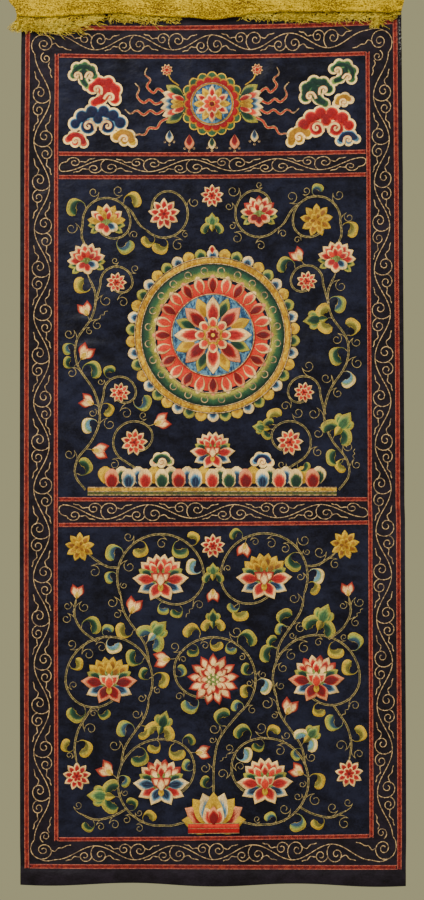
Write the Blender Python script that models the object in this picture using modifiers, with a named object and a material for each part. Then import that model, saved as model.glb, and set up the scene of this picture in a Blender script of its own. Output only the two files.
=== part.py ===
"""Hanging embroidered silk banner: a dark silk panel with couched frame bands and a turned hem,
under a softly folded yellow silk heading whose torn lower layer is ravelled.

Run with: blender --background --python part.py
Metres, +Z up. The origin is the middle of the heading's top edge, the cloth hangs down from it,
and the worked face looks towards -Y.
"""

import math
import random
from collections import namedtuple

import bpy

# Driving dimensions of the dark panel. "Down" is measured from the heading's top edge.
PANEL_HALF_WIDTH = 0.1731
PANEL_TOP = 0.0040
PANEL_BOTTOM = 0.8243
SILK_THICKNESS = 0.0012
HEM_RADIUS = 0.0019
HEM_TURN_UP = 0.012
HEM_BEND_STEPS = 5

# Couched frame bands: centre lines, widths and how far they stand off the silk.
OUTER_BAND_X = 0.1672
INNER_BAND_LEFT = -0.1406
INNER_BAND_RIGHT = 0.1420
OUTER_BAND_WIDTH = 0.0042
INNER_BAND_WIDTH = 0.0038
BAND_THICKNESS = 0.0009
SEWN_GAP = 0.0003
OUTER_BAND_TOP = 0.0518
INNER_BAND_TOP = 0.0780
INNER_BAND_BOTTOM = 0.7836
OUTER_BAND_BOTTOM = 0.8100
CROSS_BANDS = (0.1667, 0.1877, 0.4793, 0.5012)

GRID_STEP = 0.024

# Heading: outer surface of a soft cloth whose lower edge is rolled under.
HEADING_THICKNESS = 0.0015
HEADING_ROLL_RADIUS = 0.0021
HEADING_BACK_FORWARD = 0.0029
HEADING_TURN_UP = 0.006
HEADING_COLUMNS = 34
PUCKERS_FULL = 0.003

# Ravelled strips of the torn layer under the heading.
RAVEL_THICKNESS = 0.0011
RAVEL_TOP = 0.0365
RAVEL_LEAN_DEGREES = 8.0
RAVEL_OFF_PANEL = 0.0004

# How unevenly the panel hangs, by rows. At each place down the panel its width is scaled, it
# drifts sideways, its middle sags and its left side drops while the right side rises.
Hang = namedtuple("Hang", "place widen drift sag tilt")
HANG_ROWS = (
    Hang(0.0540, 0.9880, -0.0005, 0.0030, 0.0025),
    Hang(0.0800, 0.9900, -0.0005, 0.0030, 0.0011),
    Hang(0.1690, 0.9940, -0.0005, 0.0020, 0.0011),
    Hang(0.1890, 0.9950, -0.0004, 0.0013, 0.0015),
    Hang(0.4790, 1.0000, 0.0001, 0.0000, 0.0000),
    Hang(0.5020, 1.0020, 0.0003, 0.0004, 0.0014),
    Hang(0.7840, 1.0040, 0.0010, 0.0009, 0.0018),
    Hang(0.8100, 1.0020, 0.0010, 0.0003, -0.0006),
)

# Soft folds of the panel: place, half length, half width, height towards the viewer, and the
# turn of the ridge from level, in degrees.
Fold = namedtuple("Fold", "x down length width height turn")
FOLD_ROWS = (
    Fold(-0.088, 0.300, 0.050, 0.022, 0.0016, 62.0),
    Fold(-0.075, 0.372, 0.055, 0.018, 0.0014, -28.0),
    Fold(0.098, 0.362, 0.048, 0.020, 0.0015, 30.0),
    Fold(0.070, 0.252, 0.052, 0.024, -0.0013, -55.0),
    Fold(-0.150, 0.560, 0.090, 0.020, 0.0012, 84.0),
    Fold(0.020, 0.640, 0.110, 0.030, -0.0010, 12.0),
    Fold(0.158, 0.470, 0.080, 0.018, -0.0022, 86.0),
    Fold(-0.162, 0.180, 0.070, 0.018, -0.0014, 90.0),
    Fold(-0.125, 0.822, 0.045, 0.024, 0.0030, 6.0),
    Fold(0.012, 0.826, 0.040, 0.020, 0.0022, -4.0),
    Fold(0.122, 0.824, 0.050, 0.024, 0.0028, 3.0),
    Fold(-0.060, 0.824, 0.022, 0.018, -0.0016, 0.0),
)
FOLDS_START = 0.062
FOLDS_FULL = 0.110

# The hem's edge dips and rises between its ends.
HEM_WAVE_DEPTH = 0.0014
HEM_WAVE_LENGTH = 0.150
HEM_WAVE_START = 0.8120

# Heading outline: how far down its rolled edge hangs at places across the width, and where its
# two sides are at places down it.
Edge = namedtuple("Edge", "place down")
HEADING_EDGE_ROWS = (
    Edge(-0.1740, 0.0452), Edge(-0.1500, 0.0460), Edge(-0.1110, 0.0436), Edge(-0.0840, 0.0424),
    Edge(-0.0560, 0.0450), Edge(-0.0210, 0.0462), Edge(0.0010, 0.0483), Edge(0.0240, 0.0458),
    Edge(0.0360, 0.0428), Edge(0.0650, 0.0414), Edge(0.1050, 0.0413), Edge(0.1400, 0.0410),
    Edge(0.1600, 0.0420), Edge(0.1710, 0.0400),
)
Sides = namedtuple("Sides", "place left right")
HEADING_SIDE_ROWS = (
    Sides(0.0000, -0.1862, 0.1745), Sides(0.0180, -0.1858, 0.1742),
    Sides(0.0300, -0.1828, 0.1728), Sides(0.0400, -0.1765, 0.1706),
    Sides(0.0480, -0.1735, 0.1690),
)
# Puckers of the heading: place along its edge, half width, height, and how far each slants
# sideways for every metre up.
Pucker = namedtuple("Pucker", "x width height slant")
PUCKER_ROWS = (
    Pucker(-0.163, 0.010, 0.0014, 0.35),
    Pucker(-0.120, 0.017, 0.0010, 0.10),
    Pucker(-0.072, 0.013, -0.0009, -0.15),
    Pucker(-0.018, 0.020, 0.0012, 0.05),
    Pucker(0.040, 0.014, -0.0012, 0.60),
    Pucker(0.086, 0.018, 0.0011, -0.20),
    Pucker(0.148, 0.012, 0.0013, -0.30),
)

# Ravelled strips: ends, the lower edge at left, middle and right, and how many locks each has.
Ravel = namedtuple("Ravel", "name left right down_left down_middle down_right locks seed")
RAVEL_ROWS = (
    Ravel("ravelled_edge_left", -0.1775, -0.0960, 0.0585, 0.0585, 0.0470, 30, 3),
    Ravel("ravelled_edge_middle", -0.0935, -0.0265, 0.0470, 0.0495, 0.0470, 17, 7),
    Ravel("ravelled_edge_right", 0.0250, 0.1650, 0.0455, 0.0475, 0.0455, 36, 11),
)
LOCK_GAP_SHARE = 0.35
LOCK_TIP_WIDTH = 0.0006
LOCK_SHORTEST = 0.0010
LOCK_LONGEST = 0.0042
LOCK_UNEVEN = 0.0008
LOCK_LEAN = 0.5
LOCK_BEND = 0.35
LOCK_WAIST = 0.55
# A few long locks stand out of the rest: strip, place across it from 0 to 1, and extra length.
LongLock = namedtuple("LongLock", "strip share longer")
LONG_LOCK_ROWS = (
    LongLock("ravelled_edge_left", 0.02, 0.0052),
    LongLock("ravelled_edge_left", 0.07, 0.0030),
    LongLock("ravelled_edge_right", 0.06, 0.0035),
    LongLock("ravelled_edge_right", 0.17, 0.0030),
    LongLock("ravelled_edge_right", 0.47, 0.0025),
    LongLock("ravelled_edge_right", 0.90, 0.0060),
)


def between(value, low, high):
    """0 at low, 1 at high, easing in and out."""
    share = min(1.0, max(0.0, (value - low) / (high - low)))
    return share * share * (3.0 - 2.0 * share)


def read_across(rows, place, column):
    """The value that a named column of the rows has at a place between them."""
    if place <= rows[0].place:
        return getattr(rows[0], column)
    for low, high in zip(rows, rows[1:]):
        if place <= high.place:
            start, end = getattr(low, column), getattr(high, column)
            return start + (end - start) * between(place, low.place, high.place)
    return getattr(rows[-1], column)


def fold_height(x, down):
    """How far the panel's face stands towards the viewer."""
    height = 0.0
    for fold in FOLD_ROWS:
        angle = math.radians(fold.turn)
        along = (x - fold.x) * math.cos(angle) - (down - fold.down) * math.sin(angle)
        across = (x - fold.x) * math.sin(angle) + (down - fold.down) * math.cos(angle)
        reach = (along / fold.length) ** 2 + (across / fold.width) ** 2
        height += fold.height * math.exp(-reach)
    return height * between(down, FOLDS_START, FOLDS_FULL)


def hung(x, down):
    """Where a point of the flat panel hangs, as (x, y, z) of its front face."""
    widen = read_across(HANG_ROWS, down, "widen")
    drift = read_across(HANG_ROWS, down, "drift")
    sag = read_across(HANG_ROWS, down, "sag")
    tilt = read_across(HANG_ROWS, down, "tilt")
    share = x / PANEL_HALF_WIDTH
    drop = down + sag * (1.0 - share * share) - tilt * share
    wave = HEM_WAVE_DEPTH * math.cos(2.0 * math.pi * x / HEM_WAVE_LENGTH)
    drop += wave * between(down, HEM_WAVE_START, PANEL_BOTTOM)
    return x * widen + drift, -fold_height(x, down), -drop


def lines_through(stops, step):
    """The stops in order, with even lines added so that none lie further apart than a step."""
    lines = [stops[0]]
    for low, high in zip(stops, stops[1:]):
        parts = max(1, math.ceil((high - low) / step))
        lines += [low + (high - low) * n / parts for n in range(1, parts + 1)]
    return lines


def both_edges(centre, width):
    return centre - width / 2.0, centre + width / 2.0


def panel_lines():
    """Columns and rows of the grid that the panel and all its bands share."""
    outer, inner = OUTER_BAND_WIDTH, INNER_BAND_WIDTH
    columns = lines_through(
        [-PANEL_HALF_WIDTH]
        + [*both_edges(-OUTER_BAND_X, outer), *both_edges(INNER_BAND_LEFT, inner)]
        + [*both_edges(INNER_BAND_RIGHT, inner), *both_edges(OUTER_BAND_X, outer)]
        + [PANEL_HALF_WIDTH],
        GRID_STEP,
    )
    stops = [PANEL_TOP, *both_edges(OUTER_BAND_TOP, outer), *both_edges(INNER_BAND_TOP, inner)]
    for down in CROSS_BANDS:
        stops += both_edges(down, inner)
    stops += [*both_edges(INNER_BAND_BOTTOM, inner), *both_edges(OUTER_BAND_BOTTOM, outer)]
    return columns, lines_through(stops + [PANEL_BOTTOM], GRID_STEP)


def material(name, colour, roughness, metallic=0.0):
    made = bpy.data.materials.new(name)
    made.use_nodes = True
    shader = made.node_tree.nodes["Principled BSDF"]
    shader.inputs["Base Color"].default_value = (*colour, 1.0)
    shader.inputs["Roughness"].default_value = roughness
    shader.inputs["Metallic"].default_value = metallic
    return made


def cloth_grid(name, across, downward, place):
    """A grid whose vertex in column i and row j is put at place(i, j), facing the viewer."""
    bpy.ops.mesh.primitive_grid_add(
        x_subdivisions=across - 1, y_subdivisions=downward - 1, size=1.0
    )
    grid = bpy.context.active_object
    grid.name = name
    for vertex in grid.data.vertices:
        column = round((vertex.co.x + 0.5) * (across - 1))
        row = round((0.5 - vertex.co.y) * (downward - 1))
        vertex.co = place(column, row)
    return grid


def thicken(cloth, thickness, offset):
    """Give an open cloth its thickness: offset -1 adds it behind the face, 1 in front."""
    solidify = cloth.modifiers.new("thickness", "SOLIDIFY")
    solidify.thickness = thickness
    solidify.offset = offset


def finish(cloth, collection, look):
    """Move the cloth to the banner's collection and give it its material."""
    for old in list(cloth.users_collection):
        old.objects.unlink(cloth)
    collection.objects.link(cloth)
    cloth.data.materials.clear()
    cloth.data.materials.append(look)


def build_panel(collection, look):
    """The dark silk, from its top edge down, round the hem's bend and up behind it."""
    columns, rows = panel_lines()
    bend = [math.pi * n / HEM_BEND_STEPS for n in range(1, HEM_BEND_STEPS + 1)]

    def place(column, row):
        x = columns[column]
        if row < len(rows):
            return hung(x, rows[row])
        turned = row - len(rows)
        if turned == len(bend):
            left, front, high = hung(x, PANEL_BOTTOM - HEM_TURN_UP)
            return left, front + 2.0 * HEM_RADIUS, high
        left, front, low = hung(x, PANEL_BOTTOM)
        angle = bend[turned]
        back = HEM_RADIUS * (1.0 - math.cos(angle))
        return left, front + back, low - HEM_RADIUS * math.sin(angle)

    panel = cloth_grid("silk_panel", len(columns), len(rows) + len(bend) + 1, place)
    thicken(panel, SILK_THICKNESS, -1.0)
    finish(panel, collection, look)


def build_band(name, x_low, x_high, down_low, down_high, collection, look):
    """A couched band on the panel: a strip of the shared grid, a sewn gap in front of the silk."""
    columns, rows = panel_lines()
    near = 1e-6
    across = [x for x in columns if x_low - near <= x <= x_high + near]
    downward = [d for d in rows if down_low - near <= d <= down_high + near]

    def place(column, row):
        # The end rows or columns keep the sewn gap to the band that they meet.
        x = min(max(across[column], x_low + SEWN_GAP / 2.0), x_high - SEWN_GAP / 2.0)
        down = min(max(downward[row], down_low + SEWN_GAP / 2.0), down_high - SEWN_GAP / 2.0)
        left, front, high = hung(x, down)
        return left, front - SEWN_GAP, high

    band = cloth_grid(name, len(across), len(downward), place)
    thicken(band, BAND_THICKNESS, 1.0)
    finish(band, collection, look)


def build_bands(collection, look):
    outer_left, outer_left_in = both_edges(-OUTER_BAND_X, OUTER_BAND_WIDTH)
    outer_right_in, outer_right = both_edges(OUTER_BAND_X, OUTER_BAND_WIDTH)
    outer_top, outer_top_in = both_edges(OUTER_BAND_TOP, OUTER_BAND_WIDTH)
    outer_bottom_in, outer_bottom = both_edges(OUTER_BAND_BOTTOM, OUTER_BAND_WIDTH)
    inner_left, inner_left_in = both_edges(INNER_BAND_LEFT, INNER_BAND_WIDTH)
    inner_right_in, inner_right = both_edges(INNER_BAND_RIGHT, INNER_BAND_WIDTH)
    inner_top, inner_top_in = both_edges(INNER_BAND_TOP, INNER_BAND_WIDTH)
    inner_bottom_in, inner_bottom = both_edges(INNER_BAND_BOTTOM, INNER_BAND_WIDTH)
    strips = [
        ("outer_band_left", outer_left, outer_left_in, outer_top, outer_bottom),
        ("outer_band_right", outer_right_in, outer_right, outer_top, outer_bottom),
        ("outer_band_top", outer_left_in, outer_right_in, outer_top, outer_top_in),
        ("outer_band_bottom", outer_left_in, outer_right_in, outer_bottom_in, outer_bottom),
        ("inner_band_left", inner_left, inner_left_in, inner_top, inner_bottom),
        ("inner_band_right", inner_right_in, inner_right, inner_top, inner_bottom),
        ("inner_band_top", inner_left_in, inner_right_in, inner_top, inner_top_in),
        ("inner_band_bottom", inner_left_in, inner_right_in, inner_bottom_in, inner_bottom),
    ]
    for number, down in enumerate(CROSS_BANDS, start=1):
        high, low = both_edges(down, INNER_BAND_WIDTH)
        strips.append((f"cross_band_{number}", inner_left_in, inner_right_in, high, low))
    for strip in strips:
        build_band(*strip, collection, look)


def heading_section(depth):
    """Forward and down of the heading's outer surface, from its top edge to the turned-up end."""
    radius = HEADING_ROLL_RADIUS
    front = HEADING_BACK_FORWARD + 2.0 * radius
    centre = depth - radius
    section = [
        (HEADING_THICKNESS + SEWN_GAP, 0.0),
        (0.36 * front, 0.18 * centre),
        (0.55 * front, 0.38 * centre),
        (0.72 * front, 0.58 * centre),
        (0.90 * front, 0.76 * centre),
        (0.99 * front, 0.90 * centre),
        (front, centre),
    ]
    for step in range(1, 5):
        angle = math.pi * step / 4
        forward = HEADING_BACK_FORWARD + radius * (1.0 + math.cos(angle))
        section.append((forward, centre + radius * math.sin(angle)))
    section.append((HEADING_BACK_FORWARD, centre - HEADING_TURN_UP))
    return section


def build_heading(collection, look):
    """The yellow silk over the panel's top, rolled under at its lower edge."""
    rows = len(heading_section(HEADING_EDGE_ROWS[0].down))

    def place(column, row):
        share = column / (HEADING_COLUMNS - 1)
        left, right = HEADING_EDGE_ROWS[0].place, HEADING_EDGE_ROWS[-1].place
        edge_down = read_across(HEADING_EDGE_ROWS, left + share * (right - left), "down")
        forward, down = heading_section(edge_down)[row]
        side_left = read_across(HEADING_SIDE_ROWS, down, "left")
        side_right = read_across(HEADING_SIDE_ROWS, down, "right")
        x = side_left + share * (side_right - side_left)
        # The turned-up end lies flat, so the puckers fade out before it.
        loose = between(forward, HEADING_BACK_FORWARD, HEADING_BACK_FORWARD + PUCKERS_FULL)
        for pucker in PUCKER_ROWS:
            away = (x - pucker.x - pucker.slant * (edge_down - down)) / pucker.width
            forward += loose * pucker.height * math.exp(-away * away)
        return x, -forward, -down

    heading = cloth_grid("heading", HEADING_COLUMNS, rows, place)
    thicken(heading, HEADING_THICKNESS, -1.0)
    finish(heading, collection, look)


def ravelled_outline(row):
    """The flat outline of a torn strip: a straight top and a lower edge that ends in locks."""
    chance = random.Random(row.seed)
    outline = [(row.left, -RAVEL_TOP), (row.right, -RAVEL_TOP)]
    pitch = (row.right - row.left) / row.locks
    edge_rows = (
        Edge(row.left, row.down_left),
        Edge((row.left + row.right) / 2.0, row.down_middle),
        Edge(row.right, row.down_right),
    )
    for n in reversed(range(row.locks)):
        root_right = row.left + (n + 1) * pitch
        root_left = root_right - pitch * (1.0 - LOCK_GAP_SHARE)
        down = read_across(edge_rows, root_left, "down") + chance.uniform(-LOCK_UNEVEN, LOCK_UNEVEN)
        length = chance.uniform(LOCK_SHORTEST, LOCK_LONGEST)
        share = (n + 0.5) / row.locks
        for lock in LONG_LOCK_ROWS:
            if lock.strip == row.name and abs(share - lock.share) < 0.5 / row.locks:
                length += lock.longer
        lean = chance.uniform(-LOCK_LEAN, LOCK_LEAN) * length
        middle = (root_left + root_right) / 2.0
        waist = LOCK_WAIST * (root_right - root_left) / 2.0
        outline += [
            (root_right, -down),
            (middle + LOCK_BEND * lean + waist, -down - LOCK_WAIST * length),
            (middle + lean + LOCK_TIP_WIDTH / 2.0, -down - length),
            (middle + lean - LOCK_TIP_WIDTH / 2.0, -down - length),
            (middle + LOCK_BEND * lean - waist, -down - LOCK_WAIST * length),
            (root_left, -down),
        ]
    return outline


def build_ravelled_edge(row, collection, look):
    """A torn strip cut from its outline, upright behind the heading and leaning forward."""
    outline = ravelled_outline(row)
    curve = bpy.data.curves.new(row.name, "CURVE")
    curve.dimensions = "2D"
    curve.fill_mode = "BOTH"
    curve.extrude = RAVEL_THICKNESS / 2.0
    spline = curve.splines.new("POLY")
    spline.points.add(len(outline) - 1)
    for point, (x, height) in zip(spline.points, outline):
        point.co = (x, height + RAVEL_TOP, 0.0, 1.0)
    spline.use_cyclic_u = True
    strip = bpy.data.objects.new(row.name, curve)
    collection.objects.link(strip)
    # It leans forward from its top, so that it clears the band it falls over.
    lean = math.radians(RAVEL_LEAN_DEGREES)
    strip.rotation_euler = (math.pi / 2.0 - lean, 0.0, 0.0)
    forward = RAVEL_OFF_PANEL + RAVEL_THICKNESS / 2.0
    strip.location = (0.0, -forward, -RAVEL_TOP)
    curve.materials.append(look)


def clear_scene():
    for old in list(bpy.data.objects):
        bpy.data.objects.remove(old, do_unlink=True)


def main():
    clear_scene()
    banner = bpy.data.collections.new("embroidered_silk_banner")
    bpy.context.scene.collection.children.link(banner)
    dark_silk = material("dark_blue_silk", (0.012, 0.016, 0.032), 0.55)
    red_couching = material("red_and_gold_couching", (0.42, 0.050, 0.030), 0.50, 0.15)
    yellow_silk = material("yellow_silk", (0.46, 0.30, 0.030), 0.75)
    build_panel(banner, dark_silk)
    build_bands(banner, red_couching)
    build_heading(banner, yellow_silk)
    for row in RAVEL_ROWS:
        build_ravelled_edge(row, banner, yellow_silk)


main()
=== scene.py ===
# %% [markdown]
# # A silk banner, stitch by stitch
# A long dark silk panel hangs from a soft yellow heading. Red and gold bands frame it, a gold
# scroll runs between the bands, and three fields hold flowers, clouds and a roundel in satin
# stitch. The solid model gives the cloth its size and its folds. This lesson dresses it: the silk
# first, then the cords and stitches that lie on it.

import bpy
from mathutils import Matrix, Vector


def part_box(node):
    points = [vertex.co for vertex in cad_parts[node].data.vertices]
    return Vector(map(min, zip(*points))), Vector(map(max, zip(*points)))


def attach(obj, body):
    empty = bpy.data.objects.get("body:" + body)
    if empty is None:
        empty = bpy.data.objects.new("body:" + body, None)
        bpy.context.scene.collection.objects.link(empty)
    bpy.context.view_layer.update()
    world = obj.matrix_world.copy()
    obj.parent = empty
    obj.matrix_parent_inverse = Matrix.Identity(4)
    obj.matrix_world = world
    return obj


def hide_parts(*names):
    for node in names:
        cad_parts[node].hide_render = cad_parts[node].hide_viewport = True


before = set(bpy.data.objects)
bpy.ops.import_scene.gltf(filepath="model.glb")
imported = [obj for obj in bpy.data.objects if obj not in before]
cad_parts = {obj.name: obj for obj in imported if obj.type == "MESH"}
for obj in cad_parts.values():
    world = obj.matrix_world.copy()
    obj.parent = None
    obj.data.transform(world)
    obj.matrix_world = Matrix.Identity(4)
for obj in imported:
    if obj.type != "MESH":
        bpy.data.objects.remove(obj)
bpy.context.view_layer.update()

# %% Tools that the cells share
import math
import random
from collections import namedtuple

import bpy
import numpy as np
from mathutils import Matrix, Vector

MM = 0.001
panel_low, panel_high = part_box("silk_panel")
print("silk panel is", round(panel_high[0] - panel_low[0], 3), "m wide")


def only(*pieces):
    """Leave these pieces alone selected, the first one active."""
    bpy.ops.object.select_all(action="DESELECT")
    for piece in pieces:
        piece.select_set(True)
    bpy.context.view_layer.objects.active = pieces[0]


def joined(pieces, name):
    """The pieces as one, under a name."""
    only(*pieces)
    bpy.ops.object.join()
    pieces[0].name = name
    return pieces[0]


def apply_all(piece):
    only(piece)
    for modifier in list(piece.modifiers):
        bpy.ops.object.modifier_apply(modifier=modifier.name)


def add(name, data):
    """A new object in the scene, at the origin."""
    made = bpy.data.objects.new(name, data)
    bpy.context.scene.collection.objects.link(made)
    return made


def coat(piece, material):
    piece.data.materials.clear()
    piece.data.materials.append(material)


def triangles(piece):
    return sum(len(face.vertices) - 2 for face in piece.data.polygons)


# %% [markdown]
# ## Camera and light
# Flat work is looked at straight on, from far off with a long lens, so that its sides stay
# parallel. The heading runs on above the view. One large soft lamp from the upper left shows the
# stitches' relief. A weaker one from the right and a pale world fill the shadows.

# %% Camera
VIEW_TOP, VIEW_HEIGHT = 0.03, 0.81
CAMERA_AWAY = 5
SENSOR = 36

view = bpy.data.cameras.new("view")
view.sensor_width = SENSOR
view.lens = SENSOR * CAMERA_AWAY / VIEW_HEIGHT
camera = add("view", view)
camera.location = (0, -CAMERA_AWAY, -VIEW_TOP - VIEW_HEIGHT / 2)
camera.rotation_euler = (math.pi / 2, 0, 0)
bpy.context.scene.camera = camera
print("lens", round(view.lens, 1), "mm")

# %% Light
BANNER_MIDDLE = Vector((0, 0, -0.42))
ROOM_COLOUR = (0.355, 0.335, 0.185, 1)
FILL_COLOUR = (0.8, 0.8, 0.78, 1)
FILL_STRENGTH = 0.56

for name, place, size, watts in (
    ("key_lamp", (-1.1, -1.9, 1), 0.9, 170), ("fill_lamp", (1.6, -2.2, -0.2), 1.4, 44),
):
    lamp = bpy.data.lights.new(name, "AREA")
    lamp.size, lamp.energy = size, watts
    holder = add(name, lamp)
    holder.location = place
    holder.rotation_euler = (BANNER_MIDDLE - Vector(place)).to_track_quat("-Z", "Y").to_euler()
world = bpy.data.worlds.new("pale_room")
world.use_nodes = True
bpy.context.scene.world = world
nodes, links = world.node_tree.nodes, world.node_tree.links
# The camera sees the room's colour, and all else is lit by the fill.
fill, seen, mix = (nodes.new("ShaderNode" + kind) for kind in ("Background", "LightPath", "MixShader"))
nodes["Background"].inputs["Color"].default_value = ROOM_COLOUR
fill.inputs["Color"].default_value = FILL_COLOUR
fill.inputs["Strength"].default_value = FILL_STRENGTH
links.new(seen.outputs["Is Camera Ray"], mix.inputs["Fac"])
links.new(fill.outputs["Background"], mix.inputs[1])
links.new(nodes["Background"].outputs["Background"], mix.inputs[2])
links.new(mix.outputs["Shader"], nodes["World Output"].inputs["Surface"])
print("lamps:", len(bpy.data.lights))

# %% [markdown]
# ## Writing materials as expressions
# A material is a drawing made of sums: thread colour times wear plus a little noise. Placing and
# wiring each Math node by hand hides the sum, so a small class wraps a socket and lets Python's
# own signs add the nodes.

# %% The socket class
class Wire:
    """One output socket of a material, which can be used in a sum."""

    def __init__(self, paint, socket):
        self.paint, self.socket = paint, socket

    def math(self, operation, *values):
        return self.paint.node("ShaderNodeMath", {"operation": operation}, *values)

    def __add__(self, other):
        return self.math("ADD", self, other)

    def __sub__(self, other):
        return self.math("SUBTRACT", self, other)

    def __rsub__(self, other):
        return self.math("SUBTRACT", other, self)

    def __mul__(self, other):
        return self.math("MULTIPLY", self, other)

    __radd__, __rmul__ = __add__, __mul__

    def most(self, other):
        return self.math("MAXIMUM", self, other)

    def power(self, other):
        return self.math("POWER", self, other)

    def size(self):
        return self.math("ABSOLUTE", self)

    def sine(self):
        return self.math("SINE", self)

    def step(self, low, high):
        """0 at low, 1 at high, eased between."""
        settings = {"interpolation_type": "SMOOTHSTEP"}
        return self.paint.node("ShaderNodeMapRange", settings, self, low, high, 0, 1)


class Paint:
    """A material and the nodes that feed its Principled shader."""

    def __init__(self, name, sheen=0.5):
        self.material = bpy.data.materials.new(name)
        self.material.use_nodes = True
        self.tree = self.material.node_tree
        self.shader = self.tree.nodes["Principled BSDF"]
        self.plug(self.shader.inputs["Specular IOR Level"], sheen)

    def node(self, kind, settings, *values, out=0, **named):
        """Add a node: its settings first, then its sockets in order or by name."""
        made = self.tree.nodes.new(kind)
        for setting, value in settings.items():
            setattr(made, setting, value)
        sockets = [s for s in made.inputs if s.enabled and not s.hide]
        pairs = [*zip(sockets, values), *((made.inputs[key], value) for key, value in named.items())]
        for socket, value in pairs:
            self.plug(socket, value)
        return Wire(self, [s for s in made.outputs if s.enabled][out])

    def plug(self, socket, value):
        if isinstance(value, Wire):
            self.tree.links.new(value.socket, socket)
        else:
            socket.default_value = value

    def ramp(self, factor, *stops):
        """Three colours, each from its place on."""
        made = self.node("ShaderNodeValToRGB", {}, factor)
        elements = made.socket.node.color_ramp.elements
        elements.new(1)
        for element, (place, colour) in zip(elements, stops):
            element.position, element.color = place, (*colour, 1)
        return made

    def blend(self, factor, first, second, kind="MIX"):
        colours = [c if isinstance(c, Wire) else (*c, 1) for c in (first, second)]
        return self.node("ShaderNodeMix", {"data_type": "RGBA", "blend_type": kind}, factor, *colours)

    def place(self):
        """Object coordinates, in metres."""
        return self.node("ShaderNodeTexCoord", {}, out=3)

    def uv(self):
        """The UV map: across the stitches' shape, and along it."""
        return self.node("ShaderNodeTexCoord", {}, out=2)

    def parts(self, vector):
        """A vector's x, y and z."""
        return [Wire(self, out) for out in self.node("ShaderNodeSeparateXYZ", {}, vector).socket.node.outputs]

    def noise(self, vector, scale, detail=3, roughness=0.5):
        """A noise. With three scales it is drawn out along a way."""
        if isinstance(scale, tuple):
            vector, scale = self.node("ShaderNodeVectorMath", {"operation": "MULTIPLY"}, vector, scale), 1
        named = {"Scale": scale, "Detail": detail, "Roughness": roughness}
        return self.node("ShaderNodeTexNoise", {}, Vector=vector, **named)

    def bump(self, height, distance, strength):
        return self.node("ShaderNodeBump", {}, Height=height, Distance=distance, Strength=strength)

    def finish(self, *values):
        """Feed the colour, the roughness, the relief and the metal, as far as they are given."""
        for name, value in zip(("Base Color", "Roughness", "Normal", "Metallic"), values):
            self.plug(self.shader.inputs[name], value)
        return self.material


print("sums ready")

# %% [markdown]
# ## The floor
# The banner hangs free. A small pale floor far below it grounds the side views, and ends before
# it would show in the straight view.

# %% Floor
FLOOR_DOWN = 0.9
bpy.ops.object.select_all(action="DESELECT")
bpy.ops.mesh.primitive_plane_add(size=3, location=(0, -1.2, -FLOOR_DOWN))
floor = bpy.context.active_object
floor.name = "pale_floor"
paint = Paint("pale_floor")
colour = paint.blend(paint.noise(paint.place(), 6), (0.6, 0.58, 0.5), (0.66, 0.64, 0.57))
coat(floor, paint.finish(colour, 0.9))
print("floor lies", FLOOR_DOWN, "m below the heading's top")

# %% [markdown]
# ## How the silk hangs
# Everything is drawn flat first, as on an embroiderer's frame: x runs across from the middle and
# down runs from the heading's top edge. One function then says where a flat point goes once the
# banner hangs: the width grows a little towards the foot, the middle sags, and soft folds stand
# forward. The silk, the bands and every stitch pass through it, so they stay together.

# %% The hang
PANEL_HALF_WIDTH = 0.1731
PANEL_TOP, PANEL_BOTTOM = 0.004, 0.8243
HEM_WAVE_DEPTH, HEM_WAVE_LENGTH, HEM_WAVE_START = 0.0014, 0.15, 0.812
FOLDS_START, FOLDS_FULL = 0.062, 0.11
# How far down, then how wide, how far to the right, how much the middle sags and the right side rises.
HANG = (
    (0.054, 0.988, -0.0005, 0.003, 0.0025), (0.08, 0.99, -0.0005, 0.003, 0.0011),
    (0.169, 0.994, -0.0005, 0.002, 0.0011), (0.189, 0.995, -0.0004, 0.0013, 0.0015),
    (0.479, 1, 0.0001, 0, 0), (0.502, 1.002, 0.0003, 0.0004, 0.0014),
    (0.784, 1.004, 0.001, 0.0009, 0.0018), (0.81, 1.002, 0.001, 0.0003, -0.0006),
)
# Broad folds, as on the solid panel: across, down, length, width and height in mm, and turn.
FOLDS = (
    (-88, 300, 50, 22, 1.6, 62), (-75, 372, 55, 18, 1.4, -28), (98, 362, 48, 20, 1.5, 30),
    (70, 252, 52, 24, -1.3, -55), (-150, 560, 90, 20, 1.2, 84), (20, 640, 110, 30, -1, 12),
    (158, 470, 80, 18, -2.2, 86), (-162, 180, 70, 18, -1.4, 90), (-125, 822, 45, 24, 3, 6),
    (12, 826, 40, 20, 2.2, -4), (122, 824, 50, 24, 2.8, 3), (-60, 824, 22, 18, -1.6, 0),
)
# Small creases that the stitching draws up in the silk around it.
CREASES = (
    (-104, 262, 20, 5, 1.1, -38), (-108, 292, 24, 5, 1.3, -24), (-104, 318, 20, 4.5, 1.1, -10),
    (-108, 342, 24, 5, 1.3, 6), (-102, 366, 22, 4.5, 1.3, 20), (-98, 396, 24, 5, 1.3, 36),
    (104, 276, 22, 5, 1.1, 34), (108, 306, 20, 4.5, 1.1, 18), (104, 334, 24, 5, 1.3, 2),
    (108, 360, 20, 4.5, 1.1, -14), (100, 392, 24, 5, 1.3, -30), (-60, 100, 26, 6, 1.1, -64),
    (-18, 92, 20, 5, 0.9, 80), (52, 96, 24, 6, 1.1, 58), (86, 150, 22, 5, 0.9, -32),
    (-70, 152, 22, 5, 0.9, 26), (104, 534, 30, 6, 1.5, -34), (-52, 600, 22, 5.5, 0.9, 52),
    (50, 694, 24, 5.5, 0.9, -46), (-110, 700, 20, 5, 0.9, 70), (-152, 250, 16, 4.5, 0.7, 10),
    (153, 330, 16, 4.5, 0.7, -8), (-152, 430, 16, 4.5, 0.7, -14), (154, 620, 16, 4.5, 0.7, 12),
)


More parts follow.
